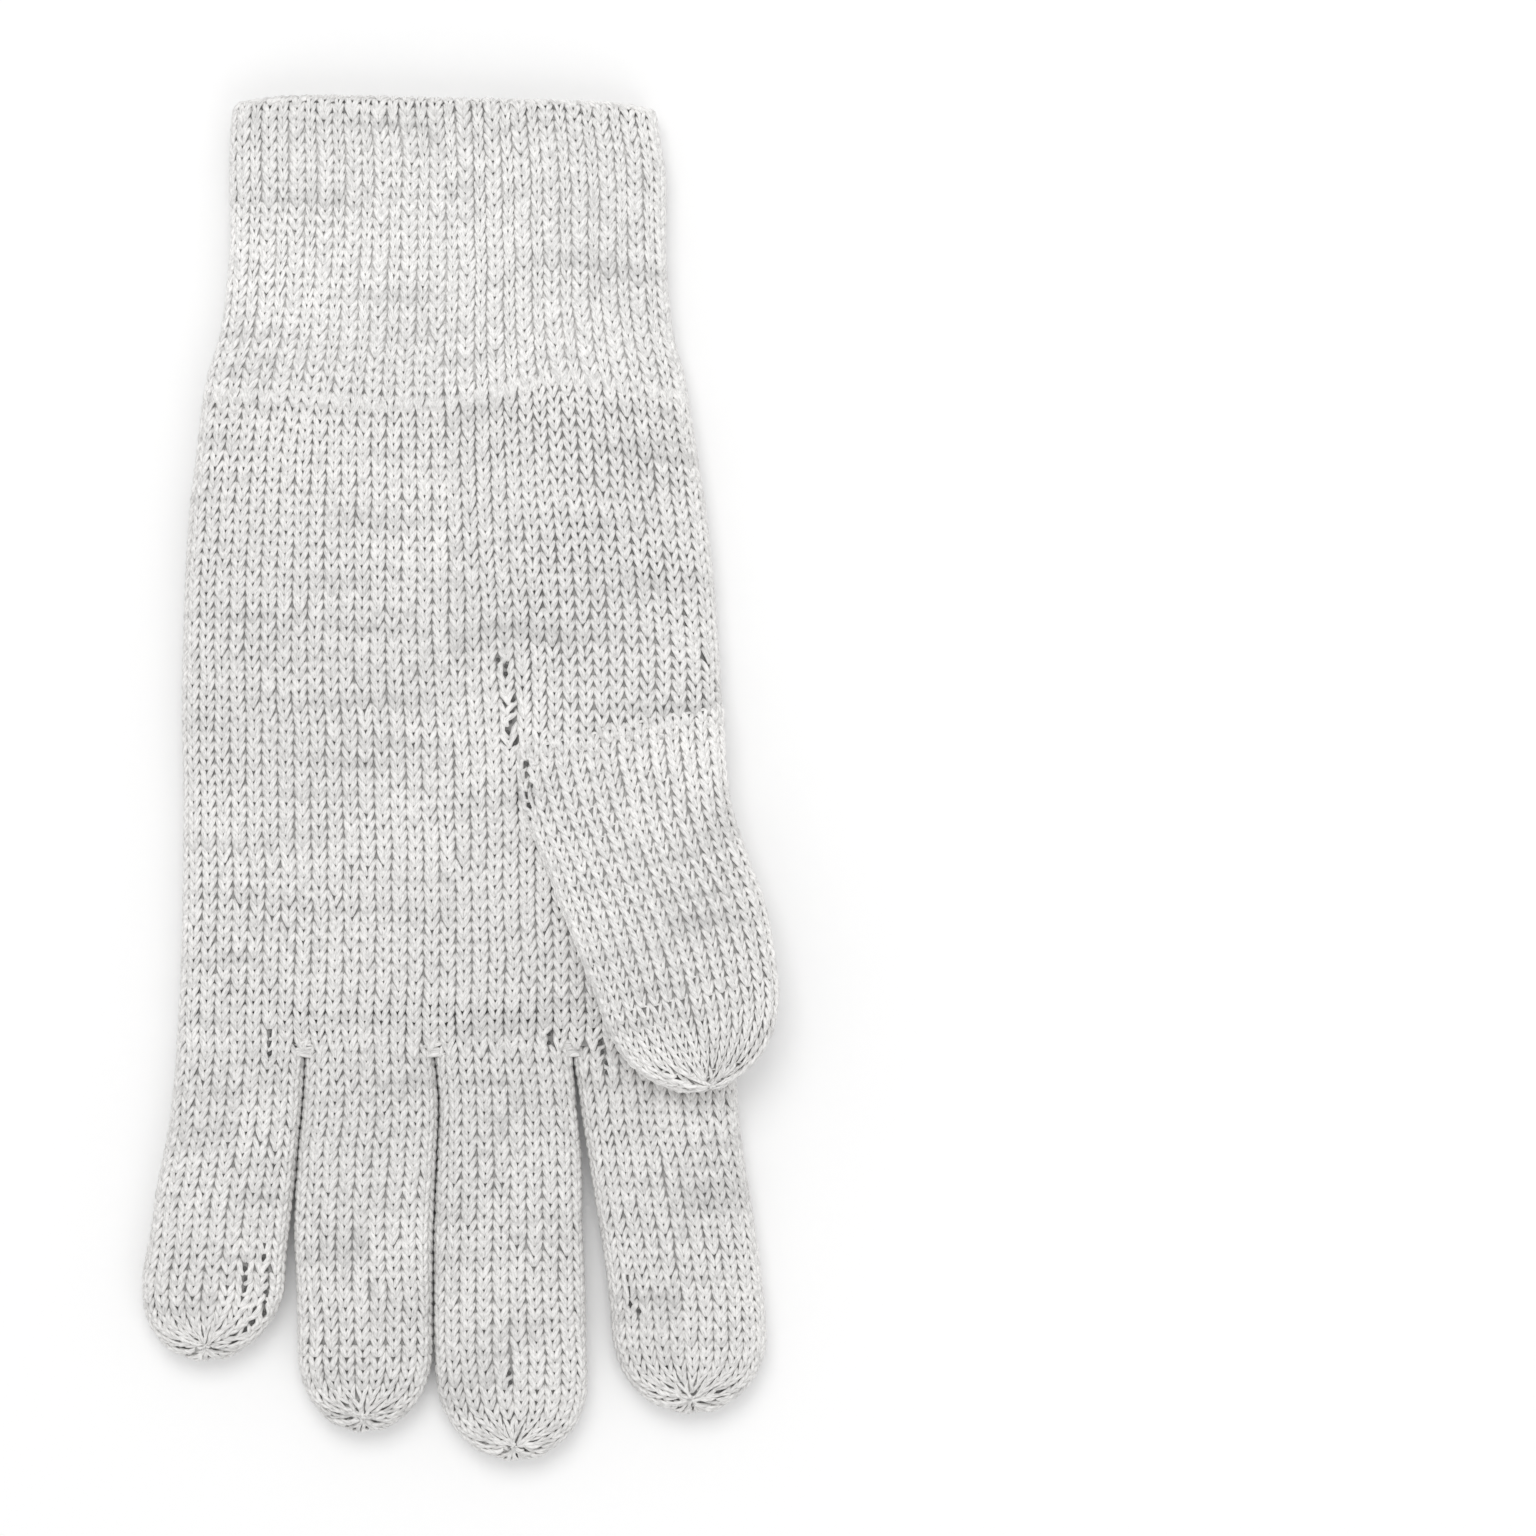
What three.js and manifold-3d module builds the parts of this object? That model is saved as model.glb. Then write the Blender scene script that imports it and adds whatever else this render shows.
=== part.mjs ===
// A knitted glove liner for the left hand, lying palm up on a flat surface.
// The fingers point to -Y, the cuff to +Y, and the thumb lies folded across the palm.
// Every piece is a flattened knitted tube: a table of sections is swept along its length,
// once for the outside and once, a fabric's thickness smaller, for the hollow inside.
import * as THREE from "three";
import Module from "manifold-3d";

const wasm = await Module();
wasm.setup();

// Driving sizes in millimetres, of the glove as it lies
const CUFF_LENGTH = 54;
const CUFF_WIDTH = 80;
const CUFF_HEIGHT = 11;
const CUFF_WALL = 2.6;
const HAND_LENGTH = 119.5;
const PALM_WIDTH = 98;
const PALM_HEIGHT = 11.5;
const FABRIC = 1.8;
const FINGER_HEIGHT = 10.5;
const FINGER_TIP = 15.5;
const LITTLE_LENGTH = 58.4;
const RING_LENGTH = 71.5;
const MIDDLE_LENGTH = 76.7;
const INDEX_LENGTH = 68.1;
const THUMB_LENGTH = 68.6;
const THUMB_WIDTH = 37;
const THUMB_HEIGHT = 10.5;
const THUMB_TIP = 19.2;
const THUMB_LEAN = THREE.MathUtils.degToRad(12.4);
const JOIN_GAP = 0.3;
const GATHER_DEPTH = 0.7;
const EDGE_DROP = 1.6;
const FINGER_REACH = 12;
const PASSAGE = 4;

// Where the thumb's root crosses the palm: shares of the palm's width and of the hand's length
const THUMB_ACROSS = 0.315;
const THUMB_ALONG = 0.512;

// Form of the sections: how high the widest place lies, and how much of the underside rests flat
const WAIST = 0.45;
const FLATTEN = 1.08;
const PALM_SQUARENESS = 4;
const TUBE_SQUARENESS = 2.6;

// Fineness of the facets, with four points round each gather of a fingertip
const GATHERS = 7;
const TUBE_POINTS = 4 * GATHERS;
const TUBE_HOLLOW_POINTS = 16;
const HAND_POINTS = 40;
const HAND_HOLLOW_POINTS = 24;
const DOME_ANGLES = [16, 32, 47, 60, 71, 80].map((degrees) => THREE.MathUtils.degToRad(degrees));
const HOLLOW_DOME_ANGLES = [25, 47, 68].map((degrees) => THREE.MathUtils.degToRad(degrees));
const POLE_TURN = THREE.MathUtils.degToRad(50);
const ACROSS = new THREE.Vector3(1, 0, 0);

// Each row is a section: how far along it lies, its left and right edge and its height.
// Along the hand: edges are shares of the palm's width, heights of the palm's height.
// From the dent's place on, the palm is pressed down under the thumb, by a share of its height.
const HAND_ROWS = [
  { along: 0, left: 0.464, right: 0.441, height: 0.96, dent: 0.15, press: 0 },
  { along: 0.09, left: 0.477, right: 0.458, height: 1, dent: 0.15, press: 0 },
  { along: 0.18, left: 0.49, right: 0.475, height: 1, dent: 0.15, press: 0 },
  { along: 0.3, left: 0.499, right: 0.491, height: 1.02, dent: 0.15, press: 0 },
  { along: 0.46, left: 0.504, right: 0.504, height: 1.03, dent: 0.14, press: 0 },
  { along: 0.61, left: 0.502, right: 0.515, height: 1, dent: 0.13, press: 0.26 },
  { along: 0.76, left: 0.503, right: 0.521, height: 0.97, dent: 0.19, press: 0.36 },
  { along: 0.91, left: 0.508, right: 0.527, height: 0.95, dent: 0.26, press: 0.26 },
  { along: 0.96, left: 0.512, right: 0.529, height: 0.92, dent: 0.29, press: 0.18 },
  { along: 1, left: 0.516, right: 0.531, height: 0.72, dent: 0.31, press: 0.06 },
];
const DENT_SOFTNESS = 0.09;

// Along the cuff, from the hand to the open edge: flare is the share of the way from the
// cuff's own width and height to the hand's, and inset rounds the folded edge
const CUFF_ROWS = [
  { along: 0, left: 0.51, right: 0.49, height: 1, flare: 1, inset: 0 },
  { along: 0.08, left: 0.51, right: 0.49, height: 1, flare: 0.8, inset: 0 },
  { along: 0.14, left: 0.51, right: 0.49, height: 1, flare: 0.56, inset: 0 },
  { along: 0.21, left: 0.51, right: 0.49, height: 1, flare: 0.33, inset: 0 },
  { along: 0.35, left: 0.51, right: 0.49, height: 1, flare: 0.12, inset: 0 },
  { along: 0.5, left: 0.508, right: 0.49, height: 1, flare: 0, inset: 0 },
  { along: 0.75, left: 0.51, right: 0.49, height: 0.98, flare: 0, inset: 0 },
  { along: 0.9, left: 0.508, right: 0.476, height: 0.96, flare: 0, inset: 0 },
  { along: 0.975, left: 0.504, right: 0.47, height: 0.95, flare: 0, inset: 0.06 },
  { along: 1, left: 0.504, right: 0.47, height: 0.95, flare: 0, inset: 0.36 },
];

// Along a finger: edges are shares of the finger's width at its root, heights of FINGER_HEIGHT.
// The rows before 0 reach into the hand, where the finger's swelling fades out.
const LITTLE_ROWS = [
  { along: -0.2, left: 0.46, right: 0.46, height: 0.95 },
  { along: 0, left: 0.5, right: 0.5, height: 0.99 },
  { along: 0.14, left: 0.531, right: 0.488, height: 1 },
  { along: 0.27, left: 0.57, right: 0.461, height: 1 },
  { along: 0.45, left: 0.66, right: 0.418, height: 1 },
  { along: 0.58, left: 0.703, right: 0.38, height: 1 },
  { along: 0.7, left: 0.762, right: 0.35, height: 1 },
  { along: 0.78, left: 0.78, right: 0.345, height: 1 },
  { along: 1, left: 0.846, right: 0.281, height: 1 },
];
const RING_ROWS = [
  { along: -0.16, left: 0.46, right: 0.46, height: 0.95 },
  { along: 0, left: 0.5, right: 0.5, height: 0.99 },
  { along: 0.15, left: 0.521, right: 0.539, height: 1 },
  { along: 0.29, left: 0.562, right: 0.523, height: 1 },
  { along: 0.48, left: 0.589, right: 0.5, height: 1 },
  { along: 0.63, left: 0.57, right: 0.496, height: 1 },
  { along: 0.77, left: 0.562, right: 0.496, height: 1 },
  { along: 1, left: 0.572, right: 0.486, height: 1 },
];
const MIDDLE_ROWS = [
  { along: -0.15, left: 0.46, right: 0.46, height: 0.95 },
  { along: 0, left: 0.5, right: 0.5, height: 0.99 },
  { along: 0.14, left: 0.464, right: 0.533, height: 1 },
  { along: 0.27, left: 0.478, right: 0.572, height: 1 },
  { along: 0.45, left: 0.5, right: 0.583, height: 1 },
  { along: 0.59, left: 0.504, right: 0.601, height: 1 },
  { along: 0.72, left: 0.5, right: 0.609, height: 1 },
  { along: 1, left: 0.449, right: 0.637, height: 1 },
];
const INDEX_ROWS = [
  { along: -0.17, left: 0.44, right: 0.44, height: 0.74 },
  { along: 0, left: 0.5, right: 0.5, height: 0.83 },
  { along: 0.1, left: 0.47, right: 0.51, height: 0.88 },
  { along: 0.2, left: 0.44, right: 0.525, height: 0.95 },
  { along: 0.31, left: 0.399, right: 0.555, height: 1 },
  { along: 0.42, left: 0.36, right: 0.597, height: 1 },
  { along: 0.59, left: 0.299, right: 0.652, height: 1 },
  { along: 0.76, left: 0.26, right: 0.69, height: 1 },
  { along: 1, left: 0.244, right: 0.707, height: 1 },
];

// Along the thumb: edges are shares of its width, lift is how high its underside lies as a
// share of the palm's height, and roll is how far its right edge sinks as a share of its height.
// The rows before 0 are the gusset, which swells the palm before the thumb leaves it.
const THUMB_ROWS = [
  { along: -0.62, left: 0.24, right: 0.3, height: 1, lift: 0.03, roll: 0 },
  { along: -0.35, left: 0.44, right: 0.46, height: 1.2, lift: 0.03, roll: 0 },
  { along: -0.12, left: 0.53, right: 0.5, height: 1.42, lift: 0.03, roll: 0 },
  { along: 0, left: 0.545, right: 0.53, height: 1.3, lift: 0.22, roll: 0 },
  { along: 0.06, left: 0.565, right: 0.51, height: 1.27, lift: 0.26, roll: 0.01 },
  { along: 0.16, left: 0.564, right: 0.48, height: 1.17, lift: 0.37, roll: 0.03 },
  { along: 0.25, left: 0.535, right: 0.463, height: 1.08, lift: 0.46, roll: 0.06 },
  { along: 0.34, left: 0.505, right: 0.471, height: 1.02, lift: 0.53, roll: 0.08 },
  { along: 0.42, left: 0.485, right: 0.49, height: 1, lift: 0.58, roll: 0.08 },
  { along: 0.52, left: 0.453, right: 0.517, height: 1, lift: 0.62, roll: 0.08 },
  { along: 0.6, left: 0.431, right: 0.522, height: 1, lift: 0.66, roll: 0.08 },
  { along: 0.72, left: 0.396, right: 0.507, height: 1, lift: 0.73, roll: 0.07 },
  { along: 1, left: 0.398, right: 0.498, height: 0.94, lift: 0.84, roll: 0.05 },
];

// A row between two rows of a table, with every column on one smooth curve
function rowAt(rows, along) {
  let last = rows.findIndex((row) => row.along >= along);
  last = last < 1 ? (last === 0 ? 1 : rows.length - 1) : last;
  const [before, from, to, after] = [last - 2, last - 1, last, last + 1].map(
    (index) => rows[THREE.MathUtils.clamp(index, 0, rows.length - 1)],
  );
  const span = to.along - from.along;
  const share = THREE.MathUtils.clamp((along - from.along) / span, 0, 1);
  const row = {};
  for (const column of Object.keys(from)) {
    const startSlope = ((to[column] - before[column]) / (to.along - before.along)) * span;
    const endSlope = ((after[column] - from[column]) / (after.along - from.along)) * span;
    row[column] =
      from[column] * (1 + 2 * share) * (1 - share) ** 2 +
      startSlope * share * (1 - share) ** 2 +
      to[column] * share ** 2 * (3 - 2 * share) +
      endSlope * share ** 2 * (share - 1);
  }
  return row;
}

// Height of a point of a section, from its place across (-1 to 1) and its side, up or down
function sectionHeight(across, upward, reach, squareness, low, high) {
  const waist = low + WAIST * (high - low);
  const swell = Math.max(reach ** squareness - Math.abs(across) ** squareness, 0) ** (1 / squareness);
  return upward ? waist + swell * (high - waist) : waist - Math.min(FLATTEN * swell, 1) * (waist - low);
}

// Closed solid through rings that all have as many points, with a fan over each end
function loft(rings) {
  const around = rings[0].length;
  const points = rings.flat();
  const triangles = [];
  for (let ring = 0; ring < rings.length - 1; ring += 1) {
    for (let step = 0; step < around; step += 1) {
      const next = (step + 1) % around;
      const a = ring * around + step;
      const b = ring * around + next;
      triangles.push(a, b, a + around, b, b + around, a + around);
    }
  }
  for (const [ring, isFirst] of [[0, true], [rings.length - 1, false]]) {
    const middle = rings[ring].reduce((sum, point) => sum.add(point), new THREE.Vector3());
    const centre = points.push(middle.divideScalar(around)) - 1;
    for (let step = 0; step < around; step += 1) {
      const a = ring * around + step;
      const b = ring * around + ((step + 1) % around);
      triangles.push(...(isFirst ? [centre, b, a] : [centre, a, b]));
    }
  }
  const vertProperties = new Float32Array(points.flatMap((point) => point.toArray()));
  const triVerts = new Uint32Array(triangles);
  return new wasm.Manifold(new wasm.Mesh({ numProp: 3, vertProperties, triVerts }));
}

// Angles round a ring, and the places of rings along a straight stretch
const anglesRound = (count) => Array.from({ length: count }, (_, step) => (2 * Math.PI * step) / count);
const placesAlong = (from, to, steps) =>
  Array.from({ length: steps + 1 }, (_, step) => THREE.MathUtils.lerp(from, to, step / steps));

// Hand: rings across Y, from the wrist at y = 0 towards the fingers
function handLoft({ grow = 0, from = 0, to = HAND_LENGTH, steps = 14, count = HAND_POINTS }) {
  const rings = placesAlong(from, to, steps).map((place) => {
    const row = rowAt(HAND_ROWS, place / HAND_LENGTH);
    const left = row.left * PALM_WIDTH + grow;
    const right = row.right * PALM_WIDTH + grow;
    return anglesRound(count).map((angle) => {
      const x = (right - left) / 2 + ((right + left) / 2) * Math.cos(angle);
      const pastDent = (x / PALM_WIDTH - row.dent) / DENT_SOFTNESS;
      const pressed = row.press * PALM_HEIGHT * THREE.MathUtils.smoothstep(pastDent, 0, 1);
      const high = row.height * PALM_HEIGHT + grow - pressed;
      const z = sectionHeight(Math.cos(angle), angle < Math.PI, 1, PALM_SQUARENESS, -grow, high);
      return new THREE.Vector3(x, -place, z);
    });
  });
  return loft(rings);
}

// Cuff: rings across Y, from the open edge back to the wrist. At the folded edge the outside
// draws in and the hollow opens by the same amount, so lip is -1 for one and 1 for the other.
function cuffLoft({ grow = 0, lip = -1, from = 0, to = CUFF_LENGTH, steps = 9, count = HAND_POINTS }) {
  const wrist = HAND_ROWS[0];
  const rings = placesAlong(to, from, steps).map((place) => {
    const row = rowAt(CUFF_ROWS, place / CUFF_LENGTH);
    const wide = grow + lip * Math.max(row.inset, 0) * CUFF_WALL;
    const left = THREE.MathUtils.lerp(row.left * CUFF_WIDTH, wrist.left * PALM_WIDTH, row.flare) + wide;
    const right = THREE.MathUtils.lerp(row.right * CUFF_WIDTH, wrist.right * PALM_WIDTH, row.flare) + wide;
    const top = THREE.MathUtils.lerp(row.height * CUFF_HEIGHT, wrist.height * PALM_HEIGHT, row.flare) + wide;
    return anglesRound(count).map((angle) => {
      const x = (right - left) / 2 + ((right + left) / 2) * Math.cos(angle);
      const z = sectionHeight(Math.cos(angle), angle < Math.PI, 1, PALM_SQUARENESS, -wide, top);
      const drop = (EDGE_DROP * place * x) / (CUFF_LENGTH * CUFF_WIDTH);
      return new THREE.Vector3(x, place - drop, z);
    });
  });
  return loft(rings);
}

// A point of a finger or the thumb, in the tube's own frame: x across, -y along it, z up
function tubePoint(tube, grow, place, across, upward, reach) {
  const row = rowAt(tube.rows, place / tube.length);
  const left = row.left * tube.width + grow - JOIN_GAP / 2;
  const right = row.right * tube.width + grow - JOIN_GAP / 2;
  const under = (row.lift ?? 0) * PALM_HEIGHT;
  const high = under + row.height * tube.height + grow;
  const x = (right - left) / 2 + ((right + left) / 2) * across;
  const sunk = (row.roll ?? 0) * tube.height * across;
  const z = sectionHeight(across, upward, reach, TUBE_SQUARENESS, under - grow, high) - sunk;
  return new THREE.Vector3(x, -place, z);
}

// The end of a tube is a dome. Its pole, where the last stitches are drawn together, is turned
// towards the upper side, and the knitting lies in gathers round it.
function domeRings(tube, grow, count, gathers) {
  const shoulder = tube.length - tube.tip;
  const rises = grow < 0 ? HOLLOW_DOME_ANGLES : DOME_ANGLES;
  return rises.map((rise) => {
    const turn = POLE_TURN * Math.sin(rise) ** 2;
    const nearPole = THREE.MathUtils.smoothstep(rise, DOME_ANGLES[1], DOME_ANGLES.at(-1));
    return anglesRound(count).map((angle) => {
      const direction = new THREE.Vector3(
        Math.cos(rise) * Math.cos(angle),
        -Math.sin(rise),
        Math.cos(rise) * Math.sin(angle),
      );
      direction.applyAxisAngle(ACROSS, -turn);
      if (gathers) {
        const fold = nearPole * (1 - Math.cos(GATHERS * angle));
        direction.multiplyScalar(1 - (fold * GATHER_DEPTH) / tube.height);
      }
      const place = shoulder - direction.y * (tube.tip + grow);
      const reach = Math.hypot(direction.x, direction.z);
      return tubePoint(tube, grow, place, direction.x, direction.z > 0, reach);
    });
  });
}

// A stretch of a tube, with its dome unless it stops at a place before it
function tubeLoft(tube, { grow = 0, from = 0, to = null, steps = 7, count = TUBE_POINTS, gathers = false }) {
  const rings = placesAlong(from, to ?? tube.length - tube.tip, steps).map((place) =>
    anglesRound(count).map((angle) => tubePoint(tube, grow, place, Math.cos(angle), angle < Math.PI, 1)),
  );
  const dome = to === null ? domeRings(tube, grow, count, gathers) : [];
  return loft([...rings, ...dome]).transform(tube.place.toArray());
}

// Fingers side by side at the hand's end, each with its share of the width there
const handEnd = HAND_ROWS.at(-1);
const rootSpan = (handEnd.left + handEnd.right) * PALM_WIDTH;
let rootEdge = -handEnd.left * PALM_WIDTH;
const fingers = [
  { name: "little_finger", length: LITTLE_LENGTH, rows: LITTLE_ROWS, share: 0.23 },
  { name: "ring_finger", length: RING_LENGTH, rows: RING_ROWS, share: 0.23 },
  { name: "middle_finger", length: MIDDLE_LENGTH, rows: MIDDLE_ROWS, share: 0.247 },
  { name: "index_finger", length: INDEX_LENGTH, rows: INDEX_ROWS, share: 0.293 },
].map((finger) => {
  const width = finger.share * rootSpan;
  const place = new THREE.Matrix4().makeTranslation(rootEdge + width / 2, -HAND_LENGTH, 0);
  rootEdge += width;
  return { ...finger, width, height: FINGER_HEIGHT, tip: FINGER_TIP, place };
});

// The thumb's root crosses the palm at an angle, from the crotch to the hand's right edge
const thumb = {
  name: "thumb",
  length: THUMB_LENGTH,
  rows: THUMB_ROWS,
  width: THUMB_WIDTH,
  height: THUMB_HEIGHT,
  tip: THUMB_TIP,
  place: new THREE.Matrix4()
    .makeTranslation(THUMB_ACROSS * PALM_WIDTH, -THUMB_ALONG * HAND_LENGTH, 0)
    .multiply(new THREE.Matrix4().makeRotationZ(THUMB_LEAN)),
};

// The palm and the root of the index finger leave room for the thumb that lies on them
const roomForThumb = (grow) => tubeLoft(thumb, { grow, from: -grow });

// Hollow of a tube, which runs on into the hand
const hollowOf = (tube, from, to = null) =>
  tubeLoft(tube, { grow: -FABRIC, from, to, steps: 5, count: TUBE_HOLLOW_POINTS });

function cuffSolid() {
  const outside = cuffLoft({ from: JOIN_GAP });
  const hollow = cuffLoft({
    grow: -CUFF_WALL,
    lip: 1,
    from: -CUFF_WALL,
    to: CUFF_LENGTH + CUFF_WALL,
    count: HAND_HOLLOW_POINTS,
  });
  return outside.subtract(hollow);
}

// The hand is an open sack, closed between the fingers, with a passage into each of them and
// into the thumb. The gusset is the thumb's tube, run back into the hand under the palm's skin.
function handSolid() {
  const gussetStart = THUMB_ROWS[0].along * THUMB_LENGTH;
  let outside = handLoft({}).add(tubeLoft(thumb, { from: gussetStart, to: 0 }));
  let hollow = handLoft({
    grow: -FABRIC,
    from: -FABRIC,
    to: HAND_LENGTH - FABRIC,
    steps: 10,
    count: HAND_HOLLOW_POINTS,
  }).add(hollowOf(thumb, gussetStart + FABRIC, 0));
  outside = outside.subtract(roomForThumb(JOIN_GAP));
  hollow = hollow.subtract(roomForThumb(JOIN_GAP + FABRIC));
  hollow = hollow.add(hollowOf(thumb, -PASSAGE, 0));
  for (const finger of fingers) {
    outside = outside.add(tubeLoft(finger, { from: -FINGER_REACH, to: 0, steps: 3 }));
    hollow = hollow.add(hollowOf(finger, -PASSAGE, FABRIC));
  }
  return outside.subtract(hollow);
}

// A finger lies against the one before it, and the index finger under the thumb
function fingerSolid(finger, index) {
  let outside = tubeLoft(finger, { from: JOIN_GAP, gathers: true });
  let hollow = hollowOf(finger, -PASSAGE);
  if (index > 0) {
    outside = outside.subtract(tubeLoft(fingers[index - 1], { grow: JOIN_GAP }));
  }
  outside = outside.subtract(roomForThumb(JOIN_GAP));
  hollow = hollow.subtract(roomForThumb(JOIN_GAP + FABRIC));
  return outside.subtract(hollow);
}

function thumbSolid() {
  return tubeLoft(thumb, { gathers: true }).subtract(hollowOf(thumb, -PASSAGE));
}

function knittedMesh(name, solid, colour) {
  const { vertProperties, triVerts } = solid.getMesh();
  const geometry = new THREE.BufferGeometry();
  geometry.setAttribute("position", new THREE.BufferAttribute(new Float32Array(vertProperties), 3));
  geometry.setIndex(Array.from(triVerts));
  geometry.computeVertexNormals();
  const wool = new THREE.MeshStandardMaterial({ color: colour, roughness: 0.95, metalness: 0 });
  const mesh = new THREE.Mesh(geometry, wool);
  mesh.name = name;
  return mesh;
}

const GLOVE_GREY = 0xd8d7d5;
const CUFF_GREY = 0xdcdbd9;
const pieces = new THREE.Group();
pieces.add(knittedMesh("cuff", cuffSolid(), CUFF_GREY));
pieces.add(knittedMesh("hand", handSolid(), GLOVE_GREY));
pieces.add(knittedMesh("thumb", thumbSolid(), GLOVE_GREY));
fingers.forEach((finger, index) => {
  pieces.add(knittedMesh(finger.name, fingerSolid(finger, index), GLOVE_GREY));
});

// The origin is under the middle of the whole glove, on the surface that it lies on
const extent = new THREE.Box3().setFromObject(pieces);
const middle = extent.getCenter(new THREE.Vector3());
pieces.position.set(-middle.x, -middle.y, -extent.min.z);

const glove = new THREE.Group();
glove.add(pieces);
export default glove;
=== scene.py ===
"""A knitted glove liner that lies palm up on a pale floor.

Every piece is knitted in yarn with a real shape: two tapered legs for each stitch, laid in
columns (wales) and rows (courses) over the surface of the glove, on a thin backing that closes
the gaps between them and carries painted shade where it shows through them. Lengths are in
millimetres, and become metres when a mesh is made.
"""
import math

import bmesh
import bpy
import numpy as np
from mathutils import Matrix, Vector
from mathutils.bvhtree import BVHTree


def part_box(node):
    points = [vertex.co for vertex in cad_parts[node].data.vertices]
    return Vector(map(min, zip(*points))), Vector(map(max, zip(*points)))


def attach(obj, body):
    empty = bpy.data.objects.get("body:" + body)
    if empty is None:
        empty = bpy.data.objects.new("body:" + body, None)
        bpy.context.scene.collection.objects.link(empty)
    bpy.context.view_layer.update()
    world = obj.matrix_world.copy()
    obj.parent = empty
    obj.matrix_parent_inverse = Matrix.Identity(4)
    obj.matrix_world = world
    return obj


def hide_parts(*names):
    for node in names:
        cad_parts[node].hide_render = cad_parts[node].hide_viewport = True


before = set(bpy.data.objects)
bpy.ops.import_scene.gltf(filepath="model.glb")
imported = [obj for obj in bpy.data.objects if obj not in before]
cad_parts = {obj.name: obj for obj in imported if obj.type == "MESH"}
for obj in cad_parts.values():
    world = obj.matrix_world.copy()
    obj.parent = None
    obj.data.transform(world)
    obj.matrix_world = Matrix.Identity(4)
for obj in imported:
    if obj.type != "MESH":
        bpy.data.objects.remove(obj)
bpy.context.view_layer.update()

MM = 0.001
SEED = 11

# What a divisor is kept above, and the least length that still has a direction
TINY = 1e-9
SHORT = 1e-6

# Driving sizes of the glove as it lies, and where the thumb's root is in shares of the hand
CUFF_LENGTH = 54
CUFF_WIDTH = 80
CUFF_HEIGHT = 11
CUFF_WALL = 2.6
HAND_LENGTH = 119.5
PALM_WIDTH = 98
PALM_HEIGHT = 11.5
FINGER_HEIGHT = 10.5
FINGER_TIP = 15.5
THUMB_LENGTH = 68.6
THUMB_WIDTH = 37
THUMB_HEIGHT = 10.5
THUMB_TIP = 19.2
THUMB_LEAN = math.radians(12.4)
THUMB_ACROSS = 0.315
THUMB_ALONG = 0.512

# The gap between neighbouring solids, how far a skin reaches past the wrist's seam and past a
# root, and how far the wrist's stitches lap over its seam, in rows of the grid
JOIN_GAP = 0.3
SEAM_REACH = 5
FOOT_REACH = 3
SEAM_LAP = 2

# How far the cuff's edge slants, and how its corners are rounded
EDGE_DROP = 1.6
CORNER_DROP = 1.9
CORNER_SHARPNESS = 6
CORNER_REACH = 4

# The form of a section: the height of its waist, its flat underside, its square sides, and the
# soft start of the dent under the thumb
WAIST = 0.45
FLATTEN = 1.08
PALM_SQUARENESS = 4
TUBE_SQUARENESS = 2.6
DENT_SOFTNESS = 0.09

# The tips: fabric gathered round a pole, which is turned up by an angle
GATHERS = 7
GATHER_DEPTH = 0.2
GATHER_FROM = math.radians(32)
GATHER_TO = math.radians(80)
FINGER_POLE_TURN = math.radians(35)
THUMB_POLE_TURN = math.radians(15)

# The hand's swell over the thumb's gusset and over the fingers' roots: how far it reaches along
# them, the height at which it sets in, and how softly
GUSSET_SHARE = 0.62
THUMB_SWELL = 4
FINGER_REACH = 12
SWELL_FROM = 0.36
SWELL_BLEND = 3
SWELL_SOFTNESS = 0.8
SWELL_SINK = 0.125

# The grid of each skin, and the rings of the cuff's edge and of a tip's dome
GRID_STEP = 0.5
GRID_PER_WALE = 6
ROW_MARGIN = 0.001
ANGLE_STEPS = 720
EDGE_RINGS = 12
DOME_RINGS = 55
DOME_REACH = 0.995

# Courses and wales. The cuff's wales are wide and narrow in turn, and its fabric turns inside
COURSE = 1.9
HAND_COURSES = 63
HAND_WALES = 72
CUFF_PAIRS = 33
WIDE_SHARE = 0.61
THUMB_WALES = 31
USUAL_WALE = 2.82
ENDING_SHARE = 0.4
LINING_DEPTH = 12

# Wales run into one where they are narrower than a share of the usual wale
MERGE_BELOW = 0.46
MERGE_SPREAD = 0.2
MOST_MERGED = 2
NARROWEST = 0.02

# The palm has no stitches well under the thumb, only up to so far inside the thumb's edge
THUMB_FADE = 3
THUMB_LAP = 1.2
SIDE_FACING = 0.8

# The backing: how far it is drawn in, at a tip's pole and elsewhere, its shades (painted shade
# where it shows between the stitches, lighter on the cuff and near a tip's pole, and the tone of
# the inside), what counts as one point of it, and how an outer point looks for the open air
BACKING_DEPTH = 0.95
POLE_DEPTH = 0.4
POLE_REACH = 9
SEAM_NEAR = 0.45
# Painted shade of the backing in the gaps between the stitches: elsewhere, on the cuff, near a
# pole
GAP_PAINTED_SHADE = 0.47
CUFF_GAP_PAINTED_SHADE = 0.85
POLE_PAINTED_SHADE = 0.92
INNER_SHADE = 0.85
WELD = 0.001
RAY_START = 0.01
RAY_REACH = 200

# How much darker the fingers and lighter the thumb are made than the palm
FINGER_TONE = 0.965
THUMB_TONE = 1.02

# How the yarn follows the width of its wale, and how unevenly it is laid
THINNEST = 0.3
THICKEST = 1.25
WIDTH_POWER = 0.85
DEPTH_POWER = 0.5
SWAY = 0.045
LAG = 0.07
LAG_SHIFT = 40
THICK_JITTER = 0.05
LAG_JITTER = 0.03
ACROSS_JITTER = 0.02
ALONG_JITTER = 0.04
DEPTH_JITTER = 0.03
SHADE_JITTER = 0.018

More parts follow.
